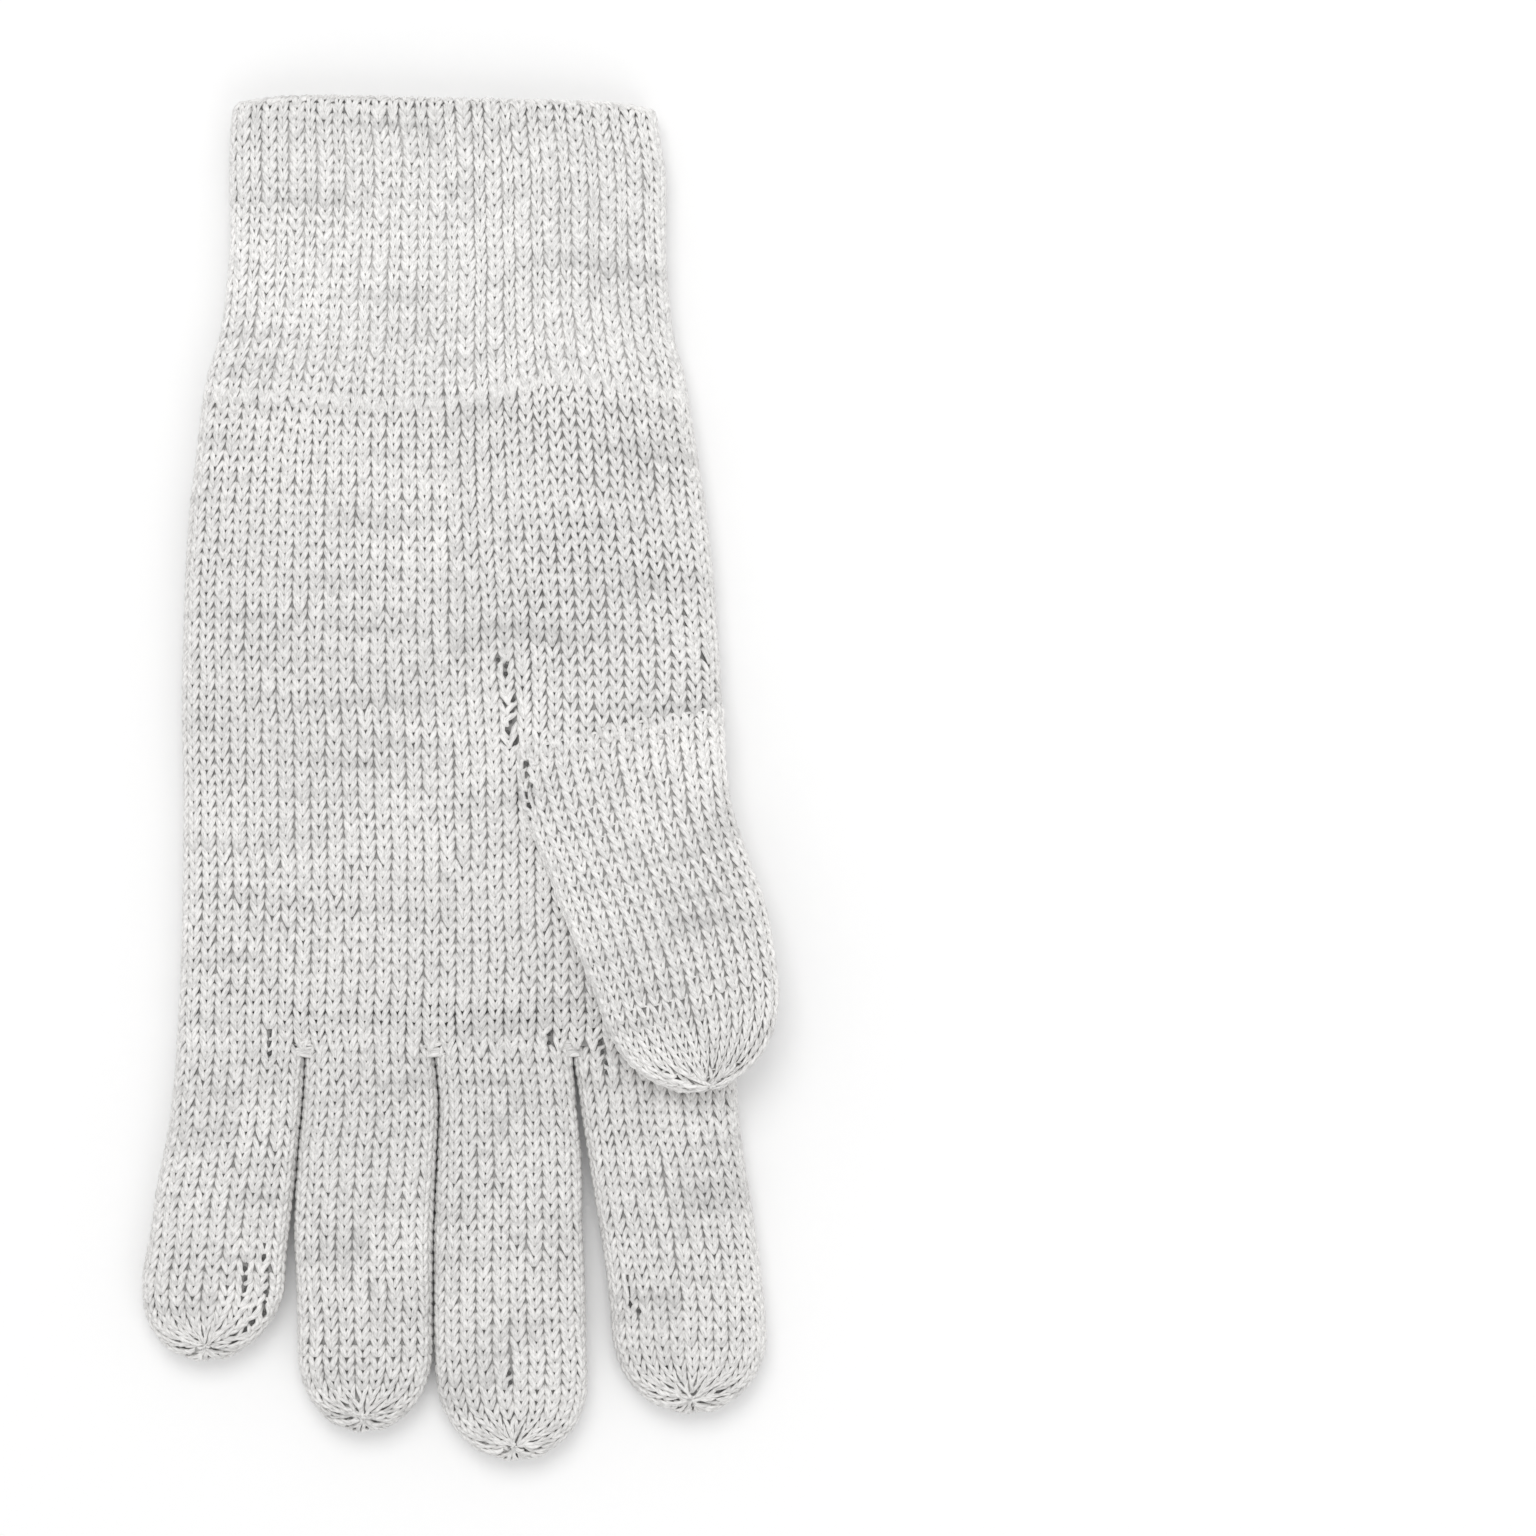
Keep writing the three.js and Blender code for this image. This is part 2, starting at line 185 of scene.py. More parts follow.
# Heather: the sizes of its streaks, patches and sways in wales and courses, how much they
# darken the yarn, and the course at which each piece begins
NOISE_WAVES = 24
STREAK_SIZE = (3.2, 0.45)
PATCH_SIZE = (9.0, 4.0)
SWAY_SIZE = (2.2, 1.4)
STREAK_FROM = 0.3
STREAK_MOST = 2
STREAK_SHADE = 0.075
PATCH_MOST = 1.5
PATCH_SHADE = 0.03
CUFF_FIRST_COURSE = 200
TUBE_FIRST_COURSE = 400
TUBE_COURSE_STEP = 100

# The map that holds every strand in its upper part and every face of the backing in its lower
ATLAS_STRANDS = 0.86
ATLAS_MARGIN = 0.01
CELL_FILL = 0.92
FACE_FILL = 0.9
FACE_SIDE = 0.85

# The yarn's colours and surface. Its fibres are a noise drawn out along each strand
GLOVE_COLOUR = (0.952, 0.94, 0.924)
CUFF_COLOUR = (0.975, 0.965, 0.95)
YARN_SURFACE = (
    ("Roughness", 0.92),
    ("Specular IOR Level", 0.2),
    ("Sheen Weight", 0.25),
    ("Sheen Roughness", 0.6),
)
PLY_SCALE = (6, 1.2, 1)
FIBRES_PER_METRE = 900
FIBRE_DETAIL = 2
FIBRE_COLUMNS = ("position", "shade")
FIBRE_ROWS = ((0.34, 0.7), (0.6, 1))
FIBRE_BUMP = 0.35
FIBRE_HEIGHT = 0.12

# The camera looks straight down. The photograph's frame is 1536 pixels wide and high, and the
# glove lies in its left half. PIXEL is a pixel's width on the glove, and the clipping is in metres
FRAME_PIXELS = 1536
PIXEL = 0.183
AXIS_PIXEL = 451
SEAM_PIXEL = 392
LENS = 150
SENSOR = 36
FOCUS_SHARE = 0.8
CLIP_NEAR = 0.05
CLIP_FAR = 10

# The floor lies a little lower than the solids, so that it doesn't cut the yarn under them
FLOOR_DROP = 0.28

# The size of the floor in metres, and the light, in metres and watts
FLOOR_SIZE = 6
FLOOR_COLOUR = (0.985, 0.985, 0.985, 1)
FLOOR_ROUGHNESS = 0.9
SKY_STRENGTH = 0.72
LIGHT_COLUMNS = ("name", "place", "size", "power")
LIGHT_ROWS = (
    ("softbox", (-0.15, 0.9, 1.9), 1.1, 13.0),
    ("fill", (0.8, -0.9, 1.7), 1.2, 4.0),
)

# Sections at shares of a piece's length from the wrist or from its root. Edges are shares of the
# width and heights are shares of the height. From a share of its width on, the palm is dented,
# and pressed down by a share of its height. A cuff with flare follows the hand's section
HAND_COLUMNS = ("along", "left", "right", "height", "dent", "press")
HAND_ROWS = (
    (0, 0.464, 0.441, 0.96, 0.15, 0),
    (0.09, 0.477, 0.458, 1, 0.15, 0),
    (0.18, 0.49, 0.475, 1, 0.15, 0),
    (0.3, 0.499, 0.491, 1.02, 0.15, 0),
    (0.46, 0.504, 0.504, 1.03, 0.14, 0),
    (0.61, 0.502, 0.515, 1, 0.13, 0.26),
    (0.76, 0.503, 0.521, 0.97, 0.19, 0.36),
    (0.91, 0.508, 0.527, 0.95, 0.26, 0.26),
    (0.96, 0.512, 0.529, 0.92, 0.29, 0.18),
    (1, 0.516, 0.531, 0.72, 0.31, 0.06),
)
CUFF_COLUMNS = ("along", "left", "right", "height", "flare")
CUFF_ROWS = (
    (0, 0.51, 0.49, 1, 1),
    (0.08, 0.51, 0.49, 1, 0.8),
    (0.14, 0.51, 0.49, 1, 0.56),
    (0.21, 0.51, 0.49, 1, 0.33),
    (0.35, 0.51, 0.49, 1, 0.12),
    (0.5, 0.508, 0.49, 1, 0),
    (0.75, 0.51, 0.49, 0.98, 0),
    (0.9, 0.508, 0.476, 0.96, 0),
    (0.975, 0.504, 0.47, 0.95, 0),
    (1, 0.504, 0.47, 0.95, 0),
)
# How far the seam between cuff and hand strays towards the cuff, along the width of the wrist
SEAM_COLUMNS = ("along", "stray")
SEAM_ROWS = (
    (-48, 0),
    (-42, -0.5),
    (-20, -1.6),
    (0, -2.2),
    (10, 0.4),
    (20, 2.8),
    (30, 1.6),
    (42, -0.5),
    (48, 0),
)
# Where a stitch is pulled open: across from the hand's middle axis, along from the wrist seam
# and the reach of the pull
OPEN_COLUMNS = ("across", "along", "reach")
OPEN_ROWS = (
    (8.7, -49.0, 1.3),
    (10.2, -50.2, 1.3),
    (10.1, -51.6, 1.3),
    (11.4, -56.2, 1.3),
    (9.7, -57.1, 1.3),
    (11.2, -58.4, 1.4),
    (10.9, -60.3, 1.6),
    (10.4, -62.2, 1.6),
    (10.0, -64.0, 1.3),
    (11.9, -64.3, 1.2),
    (14.0, -68.1, 1.5),
    (14.5, -69.8, 1.3),
    (15.1, -72.1, 1.4),
    (15.7, -74.2, 1.4),
    (13.7, -73.9, 1.1),
    (14.3, -75.8, 1.1),
    (14.8, -78.1, 1.1),
    (-32.8, -117.5, 1.4),
    (-32.9, -119.3, 1.4),
    (-33.1, -121.0, 1.3),
    (26.7, -117.1, 1.4),
    (27.3, -119.1, 1.5),
    (27.6, -120.8, 1.5),
    (28.4, -122.8, 1.4),
    (28.5, -124.6, 1.3),
    (17.9, -117.5, 1.3),
    (17.9, -119.1, 1.2),
    (-37.7, -160.3, 1.6),
    (-37.5, -162.3, 1.6),
    (-37.5, -164.2, 1.6),
    (-37.5, -166.2, 1.6),
    (-34.6, -156.4, 1.1),
    (-34.3, -158.6, 1.1),
    (-33.8, -160.6, 1.2),
    (-34.0, -162.6, 1.2),
    (-34.0, -164.7, 1.2),
    (-34.0, -166.7, 1.2),
    (-34.3, -168.7, 1.2),
    (-36.2, -168.3, 1.3),
    (-36.4, -170.1, 1.3),
    (-37.9, -172.0, 1.3),
    (32.6, -162.6, 1),
    (32.7, -164.8, 1),
    (32.8, -167.0, 1),
    (34.4, -168.2, 1),
    (10.7, -179.5, 1.3),
    (10.9, -181.2, 1.3),
)
OPEN_PUSH = 0.7
OPEN_STRETCH = 1.15
OPEN_DEPTH = 0.6
OPEN_SIZE = 0.42
# The shade of the dark discs under the open stitches, painted shadow of the glove's hollow inside
OPEN_PAINTED_SHADOW = 0.12
OPEN_FACING = 0.3
OPEN_NEAREST = 0.05
OPEN_FLATNESS = 0.25

# The strands that bridge the roots of neighbouring fingers
WEB_STRANDS = 5
WEB_SPAN = 2.3
WEB_SLANT = 0.5
WEB_START = 0.6
WEB_STEP = 0.62
WEB_DEPTH = 0.55
WEB_SAG = 0.3
WEB_SIZE = 0.5
WEB_SPREAD = (0.8, 1.15)
WEB_SHADES = (0.9, 1)

# The thumb is lifted by shares of the palm's height, and its sides roll by shares of its own
TUBE_COLUMNS = ("along", "left", "right", "height")
LITTLE_ROWS = (
    (-0.2, 0.46, 0.46, 0.95),
    (0, 0.5, 0.5, 0.99),
    (0.14, 0.531, 0.488, 1),
    (0.27, 0.57, 0.461, 1),
    (0.45, 0.66, 0.418, 1),
    (0.58, 0.703, 0.38, 1),
    (0.7, 0.762, 0.35, 1),
    (0.78, 0.78, 0.345, 1),
    (1, 0.846, 0.281, 1),
)
RING_ROWS = (
    (-0.16, 0.46, 0.46, 0.95),
    (0, 0.5, 0.5, 0.99),
    (0.15, 0.521, 0.539, 1),
    (0.29, 0.562, 0.523, 1),
    (0.48, 0.589, 0.5, 1),
    (0.63, 0.57, 0.496, 1),
    (0.77, 0.562, 0.496, 1),
    (1, 0.572, 0.486, 1),
)
MIDDLE_ROWS = (
    (-0.15, 0.46, 0.46, 0.95),
    (0, 0.5, 0.5, 0.99),
    (0.14, 0.464, 0.533, 1),
    (0.27, 0.478, 0.572, 1),
    (0.45, 0.5, 0.583, 1),
    (0.59, 0.504, 0.601, 1),
    (0.72, 0.5, 0.609, 1),
    (1, 0.449, 0.637, 1),
)
INDEX_ROWS = (
    (-0.17, 0.44, 0.44, 0.74),
    (0, 0.5, 0.5, 0.83),
    (0.1, 0.47, 0.51, 0.88),
    (0.2, 0.44, 0.525, 0.95),
    (0.31, 0.399, 0.555, 1),
    (0.42, 0.36, 0.597, 1),
    (0.59, 0.299, 0.652, 1),
    (0.76, 0.26, 0.69, 1),
    (1, 0.244, 0.707, 1),
)
# The share is of the hand's lower edge, which the roots of the fingers take up
FINGER_COLUMNS = ("node", "length", "share", "wales", "rows")
FINGER_ROWS = (
    ("little_finger", 58.4, 0.23, 20, LITTLE_ROWS),
    ("ring_finger", 71.5, 0.23, 20, RING_ROWS),
    ("middle_finger", 76.7, 0.247, 21, MIDDLE_ROWS),
    ("index_finger", 68.1, 0.293, 24, INDEX_ROWS),
)
THUMB_COLUMNS = ("along", "left", "right", "height", "lift", "roll")
THUMB_ROWS = (
    (-0.62, 0.24, 0.3, 1, 0.03, 0),
    (-0.35, 0.44, 0.46, 1.2, 0.03, 0),
    (-0.12, 0.53, 0.5, 1.42, 0.03, 0),
    (0, 0.545, 0.53, 1.3, 0.22, 0),
    (0.06, 0.565, 0.51, 1.27, 0.26, 0.01),
    (0.16, 0.564, 0.48, 1.17, 0.37, 0.03),
    (0.25, 0.535, 0.463, 1.08, 0.46, 0.06),
    (0.34, 0.505, 0.471, 1.02, 0.53, 0.08),
    (0.42, 0.485, 0.49, 1, 0.58, 0.08),
    (0.52, 0.453, 0.517, 1, 0.62, 0.08),
    (0.6, 0.431, 0.522, 1, 0.66, 0.08),
    (0.72, 0.396, 0.507, 1, 0.73, 0.07),
    (1, 0.398, 0.498, 0.94, 0.84, 0.05),
)

# One leg of a stitch, from its foot at the middle of the wale to its head at the wale's edge:
# across in wales, along in courses towards the cuff, depth under the surface and the half
# width and half height of the yarn in millimetres, for a wale of usual width
LEG_COLUMNS = ("across", "along", "depth", "width", "height")
LEG_ROWS = (
    (0.02, -1.08, 1.0, 0, 0),
    (0.07, -0.75, 0.46, 0.38, 0.42),
    (0.15, -0.33, 0.33, 0.51, 0.5),
    (0.27, 0.12, 0.42, 0.54, 0.5),
    (0.38, 0.57, 0.84, 0.47, 0.44),
    (0.43, 0.98, 1.3, 0, 0),
)
# The short bar of yarn that shows between the legs where the knit is stretched
BAR_ROWS = (
    (-0.42, 0.3, 1.0, 0, 0),
    (-0.26, 0.4, 0.72, 0.2, 0.2),
    (-0.09, 0.46, 0.64, 0.27, 0.24),
    (0.09, 0.46, 0.64, 0.27, 0.24),
    (0.26, 0.4, 0.72, 0.2, 0.2),
    (0.42, 0.3, 1.0, 0, 0),
)
LEG_SIDES = 5

# The strands of a stitch: the side each is laid to, its thickness and how much deeper it lies
EVEN_LEGS = ((1, 1, 0), (-1, 1, 0))
STRETCHED_LEGS = ((1, 1.1, -0.04), (-1, 0.78, 0.24))
ONE_BAR = ((1, 1, 0),)

# Angles round a section of the glove from the middle of its upper side, and round a strand
ANGLES = math.pi / 2 + np.linspace(0, 2 * math.pi, ANGLE_STEPS, endpoint=False)
COSINES = np.cos(ANGLES)
SINES = np.sin(ANGLES)
UPWARD = SINES > 0
ROUND = np.arange(LEG_SIDES) / LEG_SIDES * 2 * math.pi + math.pi / 2
ROUND_COSINES = np.cos(ROUND)
ROUND_SINES = np.sin(ROUND)

# A bead of as many rings as a leg has: places along it and its width there
BEAD = np.linspace(-1, 1, len(LEG_ROWS))[:, None]
BEAD_SWELL = np.sqrt(1 - BEAD ** 2)

random = np.random.default_rng(SEED)


def table(columns, rows):
    return dict(zip(columns, np.array(rows, float).T))


def rows_at(rows, along):
    """Every column of a table at these places, on one smooth curve through its rows."""
    places = rows["along"]
    most = len(places) - 1
    end = np.clip(np.searchsorted(places, along), 1, most)
    before, start, after = np.maximum(end - 2, 0), end - 1, np.minimum(end + 1, most)
    span = places[end] - places[start]
    share = np.clip((along - places[start]) / span, 0, 1)
    found = {}
    for name, values in rows.items():
        start_slope = (values[end] - values[before]) / (places[end] - places[before]) * span
        end_slope = (values[after] - values[start]) / (places[after] - places[start]) * span
        found[name] = (
            values[start] * (1 + 2 * share) * (1 - share) ** 2
            + start_slope * share * (1 - share) ** 2
            + values[end] * share ** 2 * (3 - 2 * share)
            + end_slope * share ** 2 * (share - 1)
        )
    return found


def smoothstep(value):
    value = np.clip(value, 0, 1)
    return value * value * (3 - 2 * value)


def section_height(across, upward, reach, squareness, low, high):
    """Height of a point of a section, from its place across (-1 to 1) and its side."""
    waist = low + WAIST * (high - low)
    swell = np.maximum(reach ** squareness - np.abs(across) ** squareness, 0) ** (1 / squareness)
    under = waist - np.minimum(FLATTEN * swell, 1) * (waist - low)
    return np.where(upward, waist + swell * (high - waist), under)


def smooth_max(a, b, softness):
    """The higher of two surfaces, rounded where they cross and sunk a little."""
    return (a + b + np.sqrt((a - b) ** 2 + softness ** 2)) / 2 - SWELL_SINK * softness


class Noise:
    """Smooth random values over any number of coordinates, from a sum of plane waves."""

    def __init__(self, sizes):
        turns = random.normal(size=(NOISE_WAVES, len(sizes)))
        self.turns = turns / np.array(sizes)
        self.starts = random.uniform(0, 2 * math.pi, NOISE_WAVES)

    def __call__(self, *places):
        phase = sum(p[..., None] * self.turns[:, i] for i, p in enumerate(places))
        return np.sin(phase + self.starts).sum(-1) / math.sqrt(NOISE_WAVES / 2)


hand_rows = table(HAND_COLUMNS, HAND_ROWS)
cuff_rows = table(CUFF_COLUMNS, CUFF_ROWS)
seam_rows = table(SEAM_COLUMNS, SEAM_ROWS)
leg = table(LEG_COLUMNS, LEG_ROWS)
bar = table(LEG_COLUMNS, BAR_ROWS)
eyelets = [dict(zip(OPEN_COLUMNS, row)) for row in OPEN_ROWS]
streak_noise = Noise(STREAK_SIZE)
patch_noise = Noise(PATCH_SIZE)
sway_noise = Noise(SWAY_SIZE)
root_span = (hand_rows["left"][-1] + hand_rows["right"][-1]) * PALM_WIDTH

# The seam between hand and cuff and the hand's middle axis are the origin here
hand_low, hand_high = (np.array(corner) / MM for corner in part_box("hand"))
SHIFT = np.array((hand_low[0] + hand_rows["left"][-1] * PALM_WIDTH, hand_high[1], 0))


class Tube:
    """A finger or the thumb, in its own frame: x across, -y along it, z up."""

    def __init__(self, node, rows, length, width, height, tip, place, lean, wales):
        self.node = node
        self.rows = rows
        self.length = length
        self.width = width
        self.height = height
        self.tip = tip
        self.place = np.array(place)
        self.lean = lean
        self.wales = wales

    def edges(self, place):
        """Left and right edge, underside, height and roll of the section at a place."""
        row = rows_at(self.rows, place / self.length)
        left = row["left"] * self.width - JOIN_GAP / 2
        right = row["right"] * self.width - JOIN_GAP / 2
        under = row.get("lift", 0) * PALM_HEIGHT
        roll = row.get("roll", 0) * self.height
        return left, right, under, row["height"] * self.height, roll

    def point(self, place, across, upward, reach):
        """A point of the surface, from its place along the tube and its place in the section."""
        left, right, under, height, roll = self.edges(place)
        x = (right - left) / 2 + (right + left) / 2 * across
        z = section_height(across, upward, reach, TUBE_SQUARENESS, under, under + height)
        return np.stack([x, -place, z - roll * across], -1)

    def heights(self, points):
        """Lower and upper surface over or under points of the glove, and how far along and
        across the tube they are."""
        from_root = points - self.place
        x, y = from_root[..., 0], from_root[..., 1]
        along = -(y * math.cos(self.lean) - x * math.sin(self.lean))
        aside = x * math.cos(self.lean) + y * math.sin(self.lean)
        left, right, under, height, roll = self.edges(along)
        across = (aside - (right - left) / 2) / ((right + left) / 2)
        inside = np.clip(across, -1, 1)
        low, high = (
            section_height(inside, up, 1.0, TUBE_SQUARENESS, under, under + height) - roll * inside
            for up in (False, True)
        )
        return low, high, along, across

    def to_glove(self, points):
        """Points of the tube's own frame, in the glove's."""
        x, y = points[..., 0], points[..., 1]
        turned = np.stack([
            x * math.cos(self.lean) - y * math.sin(self.lean),
            x * math.sin(self.lean) + y * math.cos(self.lean),
            points[..., 2],
        ], -1)
        return turned + self.place


def finger_tubes():
    """The fingers side by side along the hand's lower edge, from the little finger on."""
    edge = -hand_rows["left"][-1] * PALM_WIDTH
    tubes = []
    for row in FINGER_ROWS:
        finger = dict(zip(FINGER_COLUMNS, row))
        width = finger["share"] * root_span
        tubes.append(Tube(
            finger["node"], table(TUBE_COLUMNS, finger["rows"]), finger["length"], width,
            FINGER_HEIGHT, FINGER_TIP, (edge + width / 2, -HAND_LENGTH, 0), 0, finger["wales"],
        ))
        edge += width
    return tubes


fingers = finger_tubes()
thumb = Tube(
    "thumb", table(THUMB_COLUMNS, THUMB_ROWS), THUMB_LENGTH, THUMB_WIDTH, THUMB_HEIGHT, THUMB_TIP,
    (THUMB_ACROSS * PALM_WIDTH, -THUMB_ALONG * HAND_LENGTH, 0), THUMB_LEAN, THUMB_WALES,
)


class Skin:
    """A knitted surface: rings of evenly spaced points, from the cuff's side to the tips.

    Wales run along it at even shares of each ring, counted from the middle of the upper side.
    """

    def __init__(self, rings, wales, lift=None):
        self.wales = wales
        self.around = wales * GRID_PER_WALE
        points = evenly_round(rings, self.around)
        if lift is not None:
            points = lift(points)
        self.points = points
        over = np.roll(points, -1, axis=1) - np.roll(points, 1, axis=1)
        down = np.gradient(points, axis=0)
        normals = np.cross(over, down)
        lengths = np.linalg.norm(normals, axis=2, keepdims=True)
        self.normals = normals / np.maximum(lengths, TINY)
        self.wale_width = np.linalg.norm(over, axis=2) / 2 * GRID_PER_WALE
        steps = np.linalg.norm(np.diff(points, axis=0), axis=2)
        self.travelled = np.vstack([np.zeros(self.around), np.cumsum(steps, axis=0)])

    def sample(self, values, row, column):
        """Values at fractional rows and columns of the grid."""
        row = np.clip(row, 0, len(self.points) - 1 - ROW_MARGIN)
        top = np.floor(row).astype(int)
        left = np.floor(column).astype(int)
        down, over = row - top, column - left
        if values.ndim == 3:
            down, over = down[..., None], over[..., None]
        right, left = (left + 1) % self.around, left % self.around
        upper = values[top, left] * (1 - over) + values[top, right] * over
        lower = values[top + 1, left] * (1 - over) + values[top + 1, right] * over
        return upper * (1 - down) + lower * down


def evenly_round(rings, count):
    """The same closed rings with evenly spaced points."""
    closed = np.concatenate([rings, rings[:, :1]], axis=1)
    steps = np.linalg.norm(np.diff(closed, axis=1), axis=2)
    travelled = np.concatenate([np.zeros((len(rings), 1)), np.cumsum(steps, axis=1)], axis=1)
    even = np.arange(count) / count
    found = np.empty((len(rings), count, 3))
    for ring, (way, points) in enumerate(zip(travelled, closed)):
        share = way / max(way[-1], TINY)
        for axis in range(3):
            found[ring, :, axis] = np.interp(even, share, points[:, axis])
    return found


def corner_drop(x, share):
    """How far the cuff's round corners hang back from its edge, at a share of its length."""
    corner = np.minimum(np.abs(2 * x / CUFF_WIDTH), 1) ** CORNER_SHARPNESS
    return CORNER_DROP * share ** CORNER_REACH * corner


def sleeve_rings(place, grow):
    """Rings of the cuff (places above 0) and of the hand (below 0), grown by so much."""
    place = place[:, None]
    share = np.maximum(place, 0) / CUFF_LENGTH
    cuff = rows_at(cuff_rows, share)
    down = rows_at(hand_rows, -np.minimum(place, 0) / HAND_LENGTH)
    flare = np.where(place > 0, cuff["flare"], 1)

    def between(name, own, other):
        return cuff[name] * own * (1 - flare) + down[name] * other * flare + grow

    left = between("left", CUFF_WIDTH, PALM_WIDTH)
    right = between("right", CUFF_WIDTH, PALM_WIDTH)
    high = between("height", CUFF_HEIGHT, PALM_HEIGHT)
    x = (right - left) / 2 + (right + left) / 2 * COSINES
    dent = smoothstep((x / PALM_WIDTH - down["dent"]) / DENT_SOFTNESS)
    high = high - down["press"] * PALM_HEIGHT * dent
    z = section_height(COSINES, UPWARD, 1.0, PALM_SQUARENESS, -grow, high)
    y = place - EDGE_DROP * share * x / CUFF_WIDTH - corner_drop(x, share)
    return np.stack([x, y, z], -1)


def swollen(points):
    """Points of the hand, lifted over the thumb's gusset and over the roots of the fingers."""
    points = points.copy()
    z = points[..., 2]
    rise = smoothstep((z - SWELL_FROM * PALM_HEIGHT) / SWELL_BLEND)
    gusset = (thumb, -GUSSET_SHARE * THUMB_LENGTH, THUMB_SWELL)
    roots = [(finger, -FINGER_REACH, FOOT_REACH) for finger in fingers]
    for tube, begin, end in (gusset, *roots):
        _, high, along, across = tube.heights(points)
        swells = (np.abs(across) < 1) & (along > begin) & (along < end)
        z = np.where(swells, z + (smooth_max(z, high, SWELL_SOFTNESS) - z) * rise, z)
    points[..., 2] = z
    return points


def hand_skin():
    """The hand, with its swells, and pressed down by the thumb."""
    places = np.arange(SEAM_REACH, -HAND_LENGTH - FOOT_REACH, -GRID_STEP)
    return Skin(sleeve_rings(places, np.zeros((len(places), 1))), HAND_WALES, swollen)


def cuff_skin():
    """From a little way inside the cuff, round its folded edge, past the seam at the wrist."""
    radius = CUFF_WALL / 2
    inside = np.arange(CUFF_LENGTH - LINING_DEPTH, CUFF_LENGTH - radius, GRID_STEP)
    turn = np.linspace(math.pi, 0, EDGE_RINGS)
    outside = np.arange(CUFF_LENGTH - radius - GRID_STEP, -SEAM_REACH, -GRID_STEP)
    places = np.concatenate([inside, CUFF_LENGTH - radius + radius * np.sin(turn), outside])
    grow = np.concatenate([
        np.full(len(inside), -CUFF_WALL), -radius * (1 - np.cos(turn)), np.zeros(len(outside)),
    ])
    return Skin(sleeve_rings(places, grow[:, None]), 2 * CUFF_PAIRS)


def tube_skin(tube):
    """A finger or the thumb, with the gathered dome of its tip."""
    shoulder = tube.length - tube.tip
    places = np.arange(-FOOT_REACH, shoulder, GRID_STEP)[:, None]
    straight = tube.point(
        np.broadcast_to(places, (len(places), len(ANGLES))), COSINES, UPWARD, 1.0,
    )
    rise = np.linspace(0, math.pi / 2 * DOME_REACH, DOME_RINGS + 1)[1:, None]
    pole_turn = THUMB_POLE_TURN if tube is thumb else FINGER_POLE_TURN
    turn = pole_turn * np.sin(rise) ** 2
    across = np.cos(rise) * COSINES
    ahead = -np.sin(rise)
    up = np.cos(rise) * SINES
    ahead, up = (
        ahead * np.cos(turn) + up * np.sin(turn),
        up * np.cos(turn) - ahead * np.sin(turn),
    )
    near_pole = smoothstep((rise - GATHER_FROM) / (GATHER_TO - GATHER_FROM))
    fold = near_pole * (1 - np.cos(GATHERS * ANGLES))
    shrink = 1 - fold * GATHER_DEPTH / tube.height
    across, ahead, up = across * shrink, ahead * shrink, up * shrink
    dome = tube.point(shoulder - ahead * tube.tip, across, up > 0, np.hypot(across, up))
    return Skin(tube.to_glove(np.vstack([straight, dome])), tube.wales)


class Stitches:
    """Where the stitches of a skin are: grid rows and columns, how many wales each spans, and
    its course."""

    def __init__(self, row, column, span, course):
        self.row = row
        self.column = column
        self.span = span
        self.course = course

    def keep(self, wanted):
        """Only the wanted stitches."""
        return Stitches(
            self.row[wanted], self.column[wanted], self.span[wanted], self.course[wanted],
        )


def set_stitches(skin, begin, end, phase=0.5, pairs=False, courses=None, from_end=False):
    """Stitches in courses along every wale, between two distances from the first ring's points.

    In pairs, a narrow wale lies beside a wide one. Where wales run together, two become one.
    """
    rows, columns, spans, numbers = [], [], [], []
    group = 2 ** MOST_MERGED
    below = random.uniform(1 - MERGE_SPREAD, 1 + MERGE_SPREAD, skin.wales // group + 1)
    below *= MERGE_BELOW * USUAL_WALE
    for wale in range(skin.wales):
        centre, span = wale + phase, 1.0
        if pairs:
            centre = wale + WIDE_SHARE
            span = 2 * (1 - WIDE_SHARE if wale % 2 else WIDE_SHARE)
        column = centre * GRID_PER_WALE
        line = skin.travelled[:, int(round(column)) % skin.around]
        near, far = begin(skin, column, line), end(skin, column, line)
        count = courses or int((far - near) / COURSE + ENDING_SHARE)
        step = (far - near) / count if courses else COURSE
        number = np.arange(count)
        distance = far - (number + 0.5) * step if from_end else near + (number + 0.5) * step
        row = np.interp(distance, line, np.arange(len(line)))
        width = skin.sample(skin.wale_width, row, np.full(count, column))
        crowded = np.maximum(below[wale // group] / np.maximum(width, NARROWEST), 1)
        merged = np.minimum(np.ceil(np.log2(crowded)), MOST_MERGED).astype(int)
        kept = wale % (2 ** merged) == 0
        shift = (2.0 ** merged - 1) / 2 * GRID_PER_WALE
        rows.append(row[kept])
        columns.append((column + shift)[kept])
        spans.append((span * 2.0 ** merged)[kept])
        numbers.append(number[kept])
    return Stitches(*(np.concatenate(values) for values in (rows, columns, spans, numbers)))


def at_row(row):
    """The distance along a wale of a grid row."""
    def found(skin, column, line):
        return line[row]
    return found


def at_seam(row):
    """The distance along a wale of the seam at the wrist, which strays from a grid row."""
    def found(skin, column, line):
        place = skin.points[row, int(round(column)) % skin.around, 0]
        stray = float(rows_at(seam_rows, np.array([place]))["stray"][0])
        return np.interp(row - stray / GRID_STEP, np.arange(len(line)), line)
    return found


